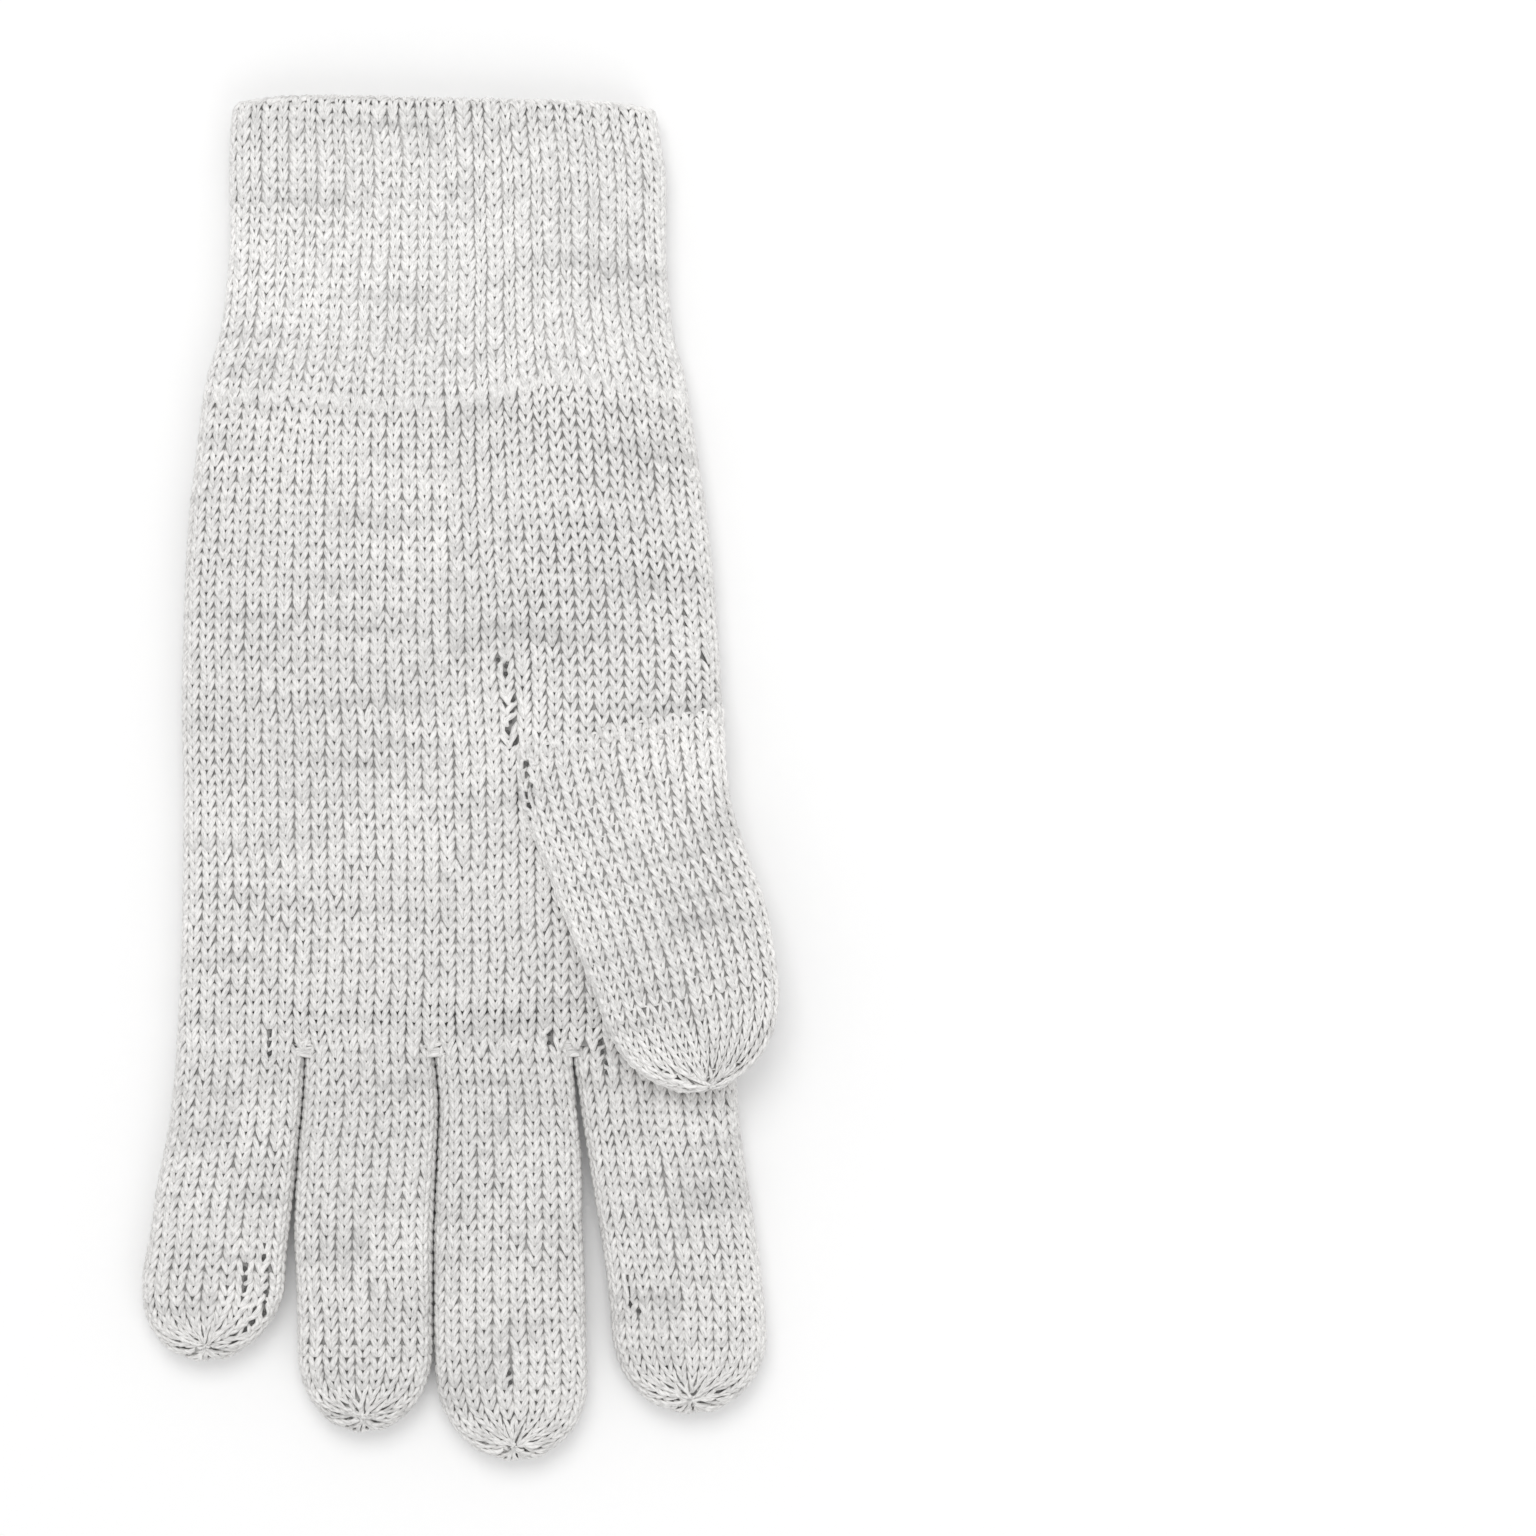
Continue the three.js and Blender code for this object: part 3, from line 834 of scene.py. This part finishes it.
def heather(stitches, first_course):
    """The yarn's shade, which drifts along each course and a little over the whole piece."""
    wale = stitches.column / GRID_PER_WALE
    course = stitches.course + first_course
    dark = np.clip(streak_noise(wale, course) - STREAK_FROM, 0, STREAK_MOST)
    patches = np.clip(patch_noise(wale, course), -PATCH_MOST, PATCH_MOST)
    return 1 - STREAK_SHADE * dark - PATCH_SHADE * patches


def knit(skin, stitches, first_course=0, strand=leg, sides=EVEN_LEGS):
    """Strands of every stitch as rings of points, and their shades."""
    count, knots = len(stitches.row), len(strand["across"])
    wale = stitches.column / GRID_PER_WALE
    course = stitches.course + first_course
    course_rows = COURSE / np.maximum(row_length(skin, stitches), SHORT)
    local_width = skin.sample(skin.wale_width, stitches.row, stitches.column) * stitches.span
    thick = np.clip(local_width / USUAL_WALE, THINNEST, THICKEST) ** WIDTH_POWER
    thick *= 1 + THICK_JITTER * random.normal(size=count)
    sway = SWAY * sway_noise(wale, course)
    lag = LAG * sway_noise(wale + LAG_SHIFT, course) + LAG_JITTER * random.normal(size=count)
    rings = np.empty((count, len(sides), knots, LEG_SIDES, 3))
    shade = np.repeat(heather(stitches, first_course)[:, None], len(sides), axis=1)
    shade = shade * (1 + SHADE_JITTER * random.normal(size=shade.shape))
    for side, (sign, swell, deeper) in enumerate(sides):
        nudge = ACROSS_JITTER * random.normal(size=count)
        slide = ALONG_JITTER * random.normal(size=count)
        across = sign * (strand["across"][None] + nudge[:, None]) + sway[:, None]
        column = stitches.column[:, None] + across * (stitches.span * GRID_PER_WALE)[:, None]
        along = strand["along"][None] + (lag + slide)[:, None]
        row = stitches.row[:, None] - along * course_rows[:, None]
        surface = skin.sample(skin.points, row, column)
        normal = skin.sample(skin.normals, row, column)
        normal /= np.linalg.norm(normal, axis=-1, keepdims=True)
        depth = strand["depth"] * thick[:, None] ** DEPTH_POWER + deeper
        depth = depth + DEPTH_JITTER * random.normal(size=(count, 1))
        centre = surface - normal * depth[..., None]
        centre = centre + pull_open(centre) * (normal[..., 2:] > OPEN_FACING)
        tangent = np.gradient(centre, axis=1)
        tangent /= np.maximum(np.linalg.norm(tangent, axis=-1, keepdims=True), TINY)
        aside = np.cross(normal, tangent)
        aside /= np.maximum(np.linalg.norm(aside, axis=-1, keepdims=True), TINY)
        outward = np.cross(tangent, aside)
        width = (strand["width"] * thick[:, None] * swell)[..., None, None]
        height = (strand["height"] * thick[:, None] ** DEPTH_POWER)[..., None, None]
        rings[:, side] = (
            centre[:, :, None]
            + aside[:, :, None] * width * ROUND_COSINES[:, None]
            + outward[:, :, None] * height * ROUND_SINES[:, None]
        )
    return rings.reshape(-1, knots, LEG_SIDES, 3), shade.reshape(-1)


def pull_open(points):
    """How far the yarn near an open stitch is pulled aside."""
    moved = np.zeros_like(points)
    for eyelet in eyelets:
        away = points[..., :2] - (eyelet["across"], eyelet["along"])
        far = np.linalg.norm(away, axis=-1, keepdims=True)
        near = np.clip(1 - far / (eyelet["reach"] * OPEN_STRETCH), 0, 1)
        moved[..., :2] += away / np.maximum(far, OPEN_NEAREST) * OPEN_PUSH * near
    return moved


def painted_eyelet_shadows(skin):
    """Small dark discs under each open stitch of this skin: painted shadow of the glove's hollow
    inside, which shows through the hole.
    """
    facing = skin.points[skin.normals[..., 2] > OPEN_FACING]
    wide = OPEN_SIZE * BEAD_SWELL
    found = []
    for eyelet in eyelets:
        x, y = eyelet["across"], eyelet["along"]
        away = np.linalg.norm(facing[:, :2] - (x, y), axis=1)
        if away.min() < GRID_STEP:
            high = facing[away.argmin(), 2] - OPEN_DEPTH
            found.append(np.stack(np.broadcast_arrays(
                x + wide * ROUND_COSINES,
                y + OPEN_SIZE * BEAD,
                high + OPEN_FLATNESS * wide * ROUND_SINES,
            ), -1))
    rings = np.array(found).reshape(-1, len(BEAD), LEG_SIDES, 3)
    return rings, np.full(len(rings), OPEN_PAINTED_SHADOW)


def webs():
    """The yarn that bridges the roots of neighbouring fingers."""
    found = []
    for left, right in zip(fingers, fingers[1:]):
        middle = left.place[0] + left.width / 2
        for number in range(WEB_STRANDS):
            span = WEB_SPAN * random.uniform(*WEB_SPREAD)
            slant = WEB_SLANT * random.uniform(-1, 1)
            along = -HAND_LENGTH + WEB_START - WEB_STEP * number
            ends = np.array([(middle - span, along - slant, 0), (middle + span, along + slant, 0)])
            start = left.heights(ends[:1])[1][0]
            stop = right.heights(ends[1:])[1][0]
            sunk = WEB_DEPTH + WEB_SAG * number * (1 - BEAD ** 2)
            high = start + (stop - start) * (BEAD + 1) / 2 - sunk
            found.append(np.stack(np.broadcast_arrays(
                middle + span * BEAD,
                along + slant * BEAD + WEB_SIZE * BEAD_SWELL * ROUND_COSINES,
                high + WEB_SIZE * BEAD_SWELL * ROUND_SINES,
            ), -1))
    return np.array(found), random.uniform(*WEB_SHADES, len(found))


def row_length(skin, stitches):
    """Millimetres between two grid rows at each stitch."""
    row = np.clip(stitches.row, 1, len(skin.points) - 2)
    ahead = skin.sample(skin.travelled, row + 0.5, stitches.column)
    behind = skin.sample(skin.travelled, row - 0.5, stitches.column)
    return ahead - behind


def strand_mesh(rings, shade):
    """Vertices, triangles and per-corner strand coordinates of tapered strands, whose first and
    last rings are single points."""
    strands, knots, sides = rings.shape[:3]
    inner = knots - 2
    vertices = np.concatenate([
        rings[:, 0, :1], rings[:, 1:-1].reshape(strands, inner * sides, 3), rings[:, -1, :1],
    ], axis=1)
    triangles, marks = [], []
    last = 1 + inner * sides

    def ring_start(ring):
        return 1 + ring * sides

    for side in range(sides):
        nxt = (side + 1) % sides
        here, there = side / sides, (side + 1) / sides
        triangles.append((0, ring_start(0) + nxt, ring_start(0) + side))
        marks.append(((here + there) / 2, 0, there, 1, here, 1))
        for ring in range(inner - 1):
            a, b = ring_start(ring) + side, ring_start(ring) + nxt
            c, d = ring_start(ring + 1) + side, ring_start(ring + 1) + nxt
            triangles += [(a, b, c), (b, d, c)]
            low, high = ring + 1, ring + 2
            marks += [(here, low, there, low, here, high), (there, low, there, high, here, high)]
        top = ring_start(inner - 1)
        triangles.append((last, top + side, top + nxt))
        marks.append(((here + there) / 2, inner + 1, here, inner, there, inner))
    triangles, marks = np.array(triangles), np.array(marks, float).reshape(-1, 3, 2)
    marks[..., 1] /= inner + 1
    per_strand = vertices.shape[1]
    offsets = np.arange(strands)[:, None, None] * per_strand
    all_triangles = (triangles[None] + offsets).reshape(-1, 3)
    strand_marks = np.broadcast_to(marks, (strands,) + marks.shape).reshape(-1, 3, 2)
    shades = np.repeat(shade, per_strand)
    return vertices.reshape(-1, 3), all_triangles, strand_marks, shades, len(triangles)


def atlas_of_strands(marks, strands, per_strand):
    """A map on which every strand has a cell of its own, in the upper part of the square."""
    across = int(math.ceil(math.sqrt(strands / ATLAS_STRANDS)))
    down = int(math.ceil(strands / across))
    cell = np.arange(strands)
    left = cell % across / across
    bottom = 1 - ATLAS_STRANDS + cell // across / down * ATLAS_STRANDS
    corner = np.stack([left, bottom], -1)
    size = np.array((CELL_FILL / across, CELL_FILL * ATLAS_STRANDS / down))
    return np.repeat(corner, per_strand, axis=0)[:, None] + marks * size


def seams_of(node):
    """Planes where the piece meets its neighbours: a point and the way out of the piece."""
    down = np.array((0, -1, 0))
    lean = np.array((math.sin(THUMB_LEAN), -math.cos(THUMB_LEAN), 0))
    root = np.array((0, -HAND_LENGTH, 0))
    return {
        "cuff": [(np.zeros(3), down)],
        "hand": [(np.zeros(3), -down), (root, down), (thumb.place, lean)],
        "thumb": [(thumb.place, -lean)],
    }.get(node, [(root, -down)])


def drawn_in(place, normal, seams, depth):
    """Where a point of the backing goes: in from the outside, but past the seam at a seam."""
    for point, out in seams:
        if abs(np.dot(place - point, out)) < SEAM_NEAR:
            level = normal - out * np.dot(normal, out)
            level /= max(np.linalg.norm(level), SHORT)
            return place - level * depth + out * JOIN_GAP
    return place - normal * depth


def backing_of(node, pole=None):
    """The solid's own mesh, its outside drawn in so that the yarn lies on it, and coloured with
    painted shade for the gaps between the stitches, lighter near a tip's pole.
    """
    seams = seams_of(node)
    mesh = bmesh.new()
    mesh.from_mesh(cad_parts[node].data)
    bmesh.ops.remove_doubles(mesh, verts=mesh.verts, dist=WELD * MM)
    bmesh.ops.triangulate(mesh, faces=mesh.faces)
    bmesh.ops.recalc_face_normals(mesh, faces=mesh.faces)
    mesh.normal_update()
    tree = BVHTree.FromBMesh(mesh)
    moved = []
    for vertex in mesh.verts:
        start = vertex.co + vertex.normal * RAY_START * MM
        hit = tree.ray_cast(start, vertex.normal, RAY_REACH * MM)[0]
        if hit is None:
            place = np.array(vertex.co) / MM - SHIFT
            near = 0.0
            if pole is not None:
                near = 1 - smoothstep(np.linalg.norm(place - pole) / POLE_REACH)
            depth = BACKING_DEPTH + (POLE_DEPTH - BACKING_DEPTH) * near
            place = drawn_in(place, np.array(vertex.normal), seams, depth) + SHIFT
            # an outer point gets the painted shade of the gaps, lighter near a tip's pole
            moved.append((vertex, Vector(place * MM), GAP_PAINTED_SHADE + (POLE_PAINTED_SHADE - GAP_PAINTED_SHADE) * near))
    for vertex, place, _ in moved:
        vertex.co = place
    vertices = np.array([v.co for v in mesh.verts]) / MM
    mesh.verts.index_update()
    shades = np.full(len(vertices), INNER_SHADE)
    shades[[vertex.index for vertex, _, _ in moved]] = [shade for _, _, shade in moved]
    triangles = np.array([[v.index for v in face.verts] for face in mesh.faces])
    mesh.free()
    return vertices, triangles, shades


def atlas_of_faces(count):
    """Two faces to a cell, in the lower part of the square."""
    cells = (count + 1) // 2
    high = 1 - ATLAS_STRANDS - ATLAS_MARGIN
    across = int(math.ceil(math.sqrt(cells / high)))
    down = int(math.ceil(cells / across))
    cell = np.arange(count) // 2
    corner = np.stack([cell % across / across, cell // across / down * high], -1)
    size = np.array((FACE_FILL / across, FACE_FILL * high / down))
    lower_half = np.array(((0, 0), (FACE_SIDE, 0), (0, FACE_SIDE)))
    upper_half = np.array(((1, 1 - FACE_SIDE), (1, 1), (1 - FACE_SIDE, 1)))
    shape = np.where((np.arange(count) % 2 == 0)[:, None, None], lower_half, upper_half)
    return corner[:, None] + shape * size


def make_piece(name, nodes, material, strands, backing=None, tone=1.0):
    """One mesh of yarn, and of the backing that it lies on, in place of the glove's nodes."""
    rings = np.concatenate([found[0] for found in strands])
    shade = np.concatenate([found[1] for found in strands])
    vertices, triangles, marks, shades, per_strand = strand_mesh(rings, shade)
    atlas = atlas_of_strands(marks, len(rings), per_strand)
    vertices = vertices + SHIFT
    if backing is not None:
        back_vertices, back_triangles, back_shades = backing
        triangles = np.concatenate([triangles, back_triangles + len(vertices)])
        vertices = np.concatenate([vertices, back_vertices])
        atlas = np.concatenate([atlas, atlas_of_faces(len(back_triangles))])
        marks = np.concatenate([marks, np.zeros((len(back_triangles), 3, 2))])
        shades = np.concatenate([shades, back_shades])
    shades = shades * tone
    mesh = bpy.data.meshes.new(name)
    mesh.vertices.add(len(vertices))
    mesh.vertices.foreach_set("co", (vertices * MM).astype(np.float32).ravel())
    mesh.loops.add(triangles.size)
    mesh.loops.foreach_set("vertex_index", triangles.astype(np.int32).ravel())
    mesh.polygons.add(len(triangles))
    mesh.polygons.foreach_set("loop_start", np.arange(0, triangles.size, 3, dtype=np.int32))
    mesh.polygons.foreach_set("use_smooth", np.ones(len(triangles), bool))
    mesh.update(calc_edges=True)
    for layer, values in (("OFBake", atlas), ("Strand", marks)):
        uv = mesh.uv_layers.new(name=layer)
        uv.uv.foreach_set("vector", values.astype(np.float32).ravel())
    attribute = mesh.attributes.new("shade", "FLOAT", "POINT")
    attribute.data.foreach_set("value", shades.astype(np.float32))
    mesh.materials.append(material)
    piece = bpy.data.objects.new(name, mesh)
    bpy.context.scene.collection.objects.link(piece)
    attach(piece, "root")
    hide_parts(*nodes)


def yarn_material(name, colour):
    """Heather yarn: soft, matt, with fine plies and darker fibres along each strand."""
    material = bpy.data.materials.new(name)
    material.use_nodes = True
    nodes, links = material.node_tree.nodes, material.node_tree.links
    shader = nodes["Principled BSDF"]
    for socket, value in YARN_SURFACE:
        shader.inputs[socket].default_value = value
    shade = nodes.new("ShaderNodeAttribute")
    shade.attribute_name = "shade"
    strand = nodes.new("ShaderNodeUVMap")
    strand.uv_map = "Strand"
    stretched = nodes.new("ShaderNodeMapping")
    stretched.inputs["Scale"].default_value = PLY_SCALE
    links.new(strand.outputs["UV"], stretched.inputs["Vector"])
    place = nodes.new("ShaderNodeTexCoord")
    spread = nodes.new("ShaderNodeVectorMath")
    spread.operation = "MULTIPLY_ADD"
    spread.inputs[1].default_value = (FIBRES_PER_METRE,) * 3
    links.new(place.outputs["Object"], spread.inputs[0])
    links.new(stretched.outputs["Vector"], spread.inputs[2])
    fibres = nodes.new("ShaderNodeTexNoise")
    fibres.inputs["Scale"].default_value = 1
    fibres.inputs["Detail"].default_value = FIBRE_DETAIL
    links.new(spread.outputs["Vector"], fibres.inputs["Vector"])
    ramp = nodes.new("ShaderNodeValToRGB")
    for element, row in zip(ramp.color_ramp.elements, FIBRE_ROWS):
        stop = dict(zip(FIBRE_COLUMNS, row))
        element.position = stop["position"]
        element.color = (stop["shade"], stop["shade"], stop["shade"], 1)
    links.new(fibres.outputs["Fac"], ramp.inputs["Fac"])
    tone = nodes.new("ShaderNodeVectorMath")
    tone.operation = "MULTIPLY"
    tone.inputs[0].default_value = colour
    links.new(ramp.outputs["Color"], tone.inputs[1])
    shaded = nodes.new("ShaderNodeVectorMath")
    shaded.operation = "SCALE"
    links.new(tone.outputs["Vector"], shaded.inputs[0])
    links.new(shade.outputs["Fac"], shaded.inputs["Scale"])
    links.new(shaded.outputs["Vector"], shader.inputs["Base Color"])
    bump = nodes.new("ShaderNodeBump")
    bump.inputs["Strength"].default_value = FIBRE_BUMP
    bump.inputs["Distance"].default_value = FIBRE_HEIGHT * MM
    links.new(fibres.outputs["Fac"], bump.inputs["Height"])
    links.new(bump.outputs["Normal"], shader.inputs["Normal"])
    return material


glove_yarn = yarn_material("glove_yarn", GLOVE_COLOUR)
cuff_yarn = yarn_material("cuff_yarn", CUFF_COLOUR)


def make_hand():
    """The palm and the back, and the skin that the fingers' wales line up with."""
    skin = hand_skin()
    wrist = int(SEAM_REACH / GRID_STEP)
    tips = wrist + int(HAND_LENGTH / GRID_STEP)
    stitches = set_stitches(
        skin, at_seam(wrist - SEAM_LAP), at_row(tips + 1), courses=HAND_COURSES,
    )
    places = skin.sample(skin.points, stitches.row, stitches.column)
    low, _, along, across = thumb.heights(places)
    facing = skin.sample(skin.normals, stitches.row, stitches.column)[:, 2]
    upper = facing > 0
    inside = (np.abs(across) < 1) & (places[:, 2] > low + THUMB_LAP)
    well_inside = inside & (np.abs(across) < 1 - THUMB_LAP / (THUMB_WIDTH / 2))
    beneath = np.abs(across) < 1 - THUMB_FADE / (THUMB_WIDTH / 2)
    covered = (facing > SIDE_FACING) & (along > THUMB_LAP) & (well_inside | beneath)
    for name, side, backing in (
        ("palm", upper & ~covered, backing_of("hand")),
        ("back", ~upper, None),
    ):
        rings, shade = knit(skin, stitches.keep(side))
        # the hand is made darker towards the fingers, down to the fingers' value
        towards_fingers = smoothstep(-rings[:, 0, 0, 1] / HAND_LENGTH)
        strands = [(rings, shade * (1 + (FINGER_TONE - 1) * towards_fingers))]
        if name == "palm":
            # the palm also gets painted shadow discs under its open stitches, and the webs
            strands += [painted_eyelet_shadows(skin), webs()]
        make_piece(name + "_knit", ["hand"], glove_yarn, strands, backing)
    return skin


def make_cuff():
    """The cuff's outside, and the fabric that turns in over its edge."""
    skin = cuff_skin()
    wrist = len(skin.points) - 1 - int(SEAM_REACH / GRID_STEP)
    stitches = set_stitches(
        skin, at_row(0), at_seam(wrist + SEAM_LAP), pairs=True, from_end=True,
    )
    inner = stitches.row < LINING_DEPTH / GRID_STEP
    outside = [knit(skin, stitches.keep(~inner), CUFF_FIRST_COURSE)]
    lining = [knit(skin, stitches.keep(inner), CUFF_FIRST_COURSE)]
    vertices, triangles, shades = backing_of("cuff")
    x, y = (vertices - SHIFT)[:, 0], (vertices - SHIFT)[:, 1]
    vertices[:, 1] -= corner_drop(x, np.clip(y / CUFF_LENGTH, 0, 1))
    # the cuff's backing gets a lighter painted shade in the gaps between its stitches
    backing = (vertices, triangles, np.maximum(shades, CUFF_GAP_PAINTED_SHADE))
    make_piece("cuff_knit", ["cuff"], cuff_yarn, outside, backing)
    make_piece("cuff_lining", ["cuff"], cuff_yarn, lining)


def make_tube(tube, hand, first_course):
    """A finger or the thumb. A finger's wales carry on from those of the hand."""
    skin = tube_skin(tube)
    root = int(FOOT_REACH / GRID_STEP)
    last_row = int((SEAM_REACH + HAND_LENGTH) / GRID_STEP)
    if tube is thumb:
        phase = 0.5
    else:
        end = hand.points[last_row, :, 0]
        wales = (np.arange(hand.wales) + 0.5) * GRID_PER_WALE
        upper = hand.points[last_row, wales.astype(int) % hand.around, 2] > PALM_HEIGHT / 2
        lines = np.interp(wales, np.arange(hand.around), end)[upper]
        middle = skin.points[root, 0, 0]
        nearest = lines[np.argmin(np.abs(lines - middle))]
        phase = (middle - nearest) / skin.wale_width[root, 0]
    stitches = set_stitches(skin, at_row(root), at_row(-1), phase=phase % 1)
    if tube is thumb:
        strands = [
            knit(skin, stitches, first_course, sides=STRETCHED_LEGS),
            knit(skin, stitches, first_course, bar, ONE_BAR),
        ]
    else:
        strands = [knit(skin, stitches, first_course)]
    # painted shadow discs under the open stitches
    strands.append(painted_eyelet_shadows(skin))
    backing = backing_of(tube.node, skin.points[-1].mean(axis=0))
    make_piece(
        tube.node + "_knit", [tube.node], glove_yarn, strands, backing,
        tone=THUMB_TONE if tube is thumb else FINGER_TONE,
    )


hand = make_hand()
make_cuff()
for number, tube in enumerate([*fingers, thumb]):
    make_tube(tube, hand, TUBE_FIRST_COURSE + TUBE_COURSE_STEP * number)


def add_camera():
    camera = bpy.data.cameras.new("camera")
    camera.lens = LENS
    camera.sensor_width = SENSOR
    view = bpy.data.objects.new("camera", camera)
    bpy.context.scene.collection.objects.link(view)
    middle = FRAME_PIXELS / 2
    x = (middle - AXIS_PIXEL) * PIXEL + SHIFT[0]
    y = (SEAM_PIXEL - middle) * PIXEL + SHIFT[1]
    distance = FRAME_PIXELS * PIXEL * LENS / SENSOR
    view.location = (x * MM, y * MM, (distance + PALM_HEIGHT * FOCUS_SHARE) * MM)
    camera.clip_start = CLIP_NEAR
    camera.clip_end = CLIP_FAR
    bpy.context.scene.camera = view


def add_floor():
    mesh = bpy.data.meshes.new("floor")
    half = FLOOR_SIZE / 2
    corners = [(-half, -half, 0), (half, -half, 0), (half, half, 0), (-half, half, 0)]
    mesh.from_pydata(corners, [], [(0, 1, 2, 3)])
    floor = bpy.data.objects.new("floor", mesh)
    floor.location.z = -FLOOR_DROP * MM
    bpy.context.scene.collection.objects.link(floor)
    material = bpy.data.materials.new("floor_white")
    material.use_nodes = True
    shader = material.node_tree.nodes["Principled BSDF"]
    shader.inputs["Base Color"].default_value = FLOOR_COLOUR
    shader.inputs["Roughness"].default_value = FLOOR_ROUGHNESS
    mesh.materials.append(material)


def add_lights():
    world = bpy.data.worlds.new("studio")
    bpy.context.scene.world = world
    world.use_nodes = True
    background = world.node_tree.nodes["Background"]
    background.inputs["Color"].default_value = (1, 1, 1, 1)
    background.inputs["Strength"].default_value = SKY_STRENGTH
    for row in LIGHT_ROWS:
        setting = dict(zip(LIGHT_COLUMNS, row))
        light = bpy.data.lights.new(setting["name"], "AREA")
        light.size = setting["size"]
        light.energy = setting["power"]
        lamp = bpy.data.objects.new(setting["name"], light)
        lamp.location = setting["place"]
        lamp.rotation_mode = "QUATERNION"
        lamp.rotation_quaternion = (-Vector(setting["place"])).to_track_quat("-Z", "Y")
        bpy.context.scene.collection.objects.link(lamp)
    bpy.context.scene.view_settings.view_transform = "Standard"


add_camera()
add_floor()
add_lights()
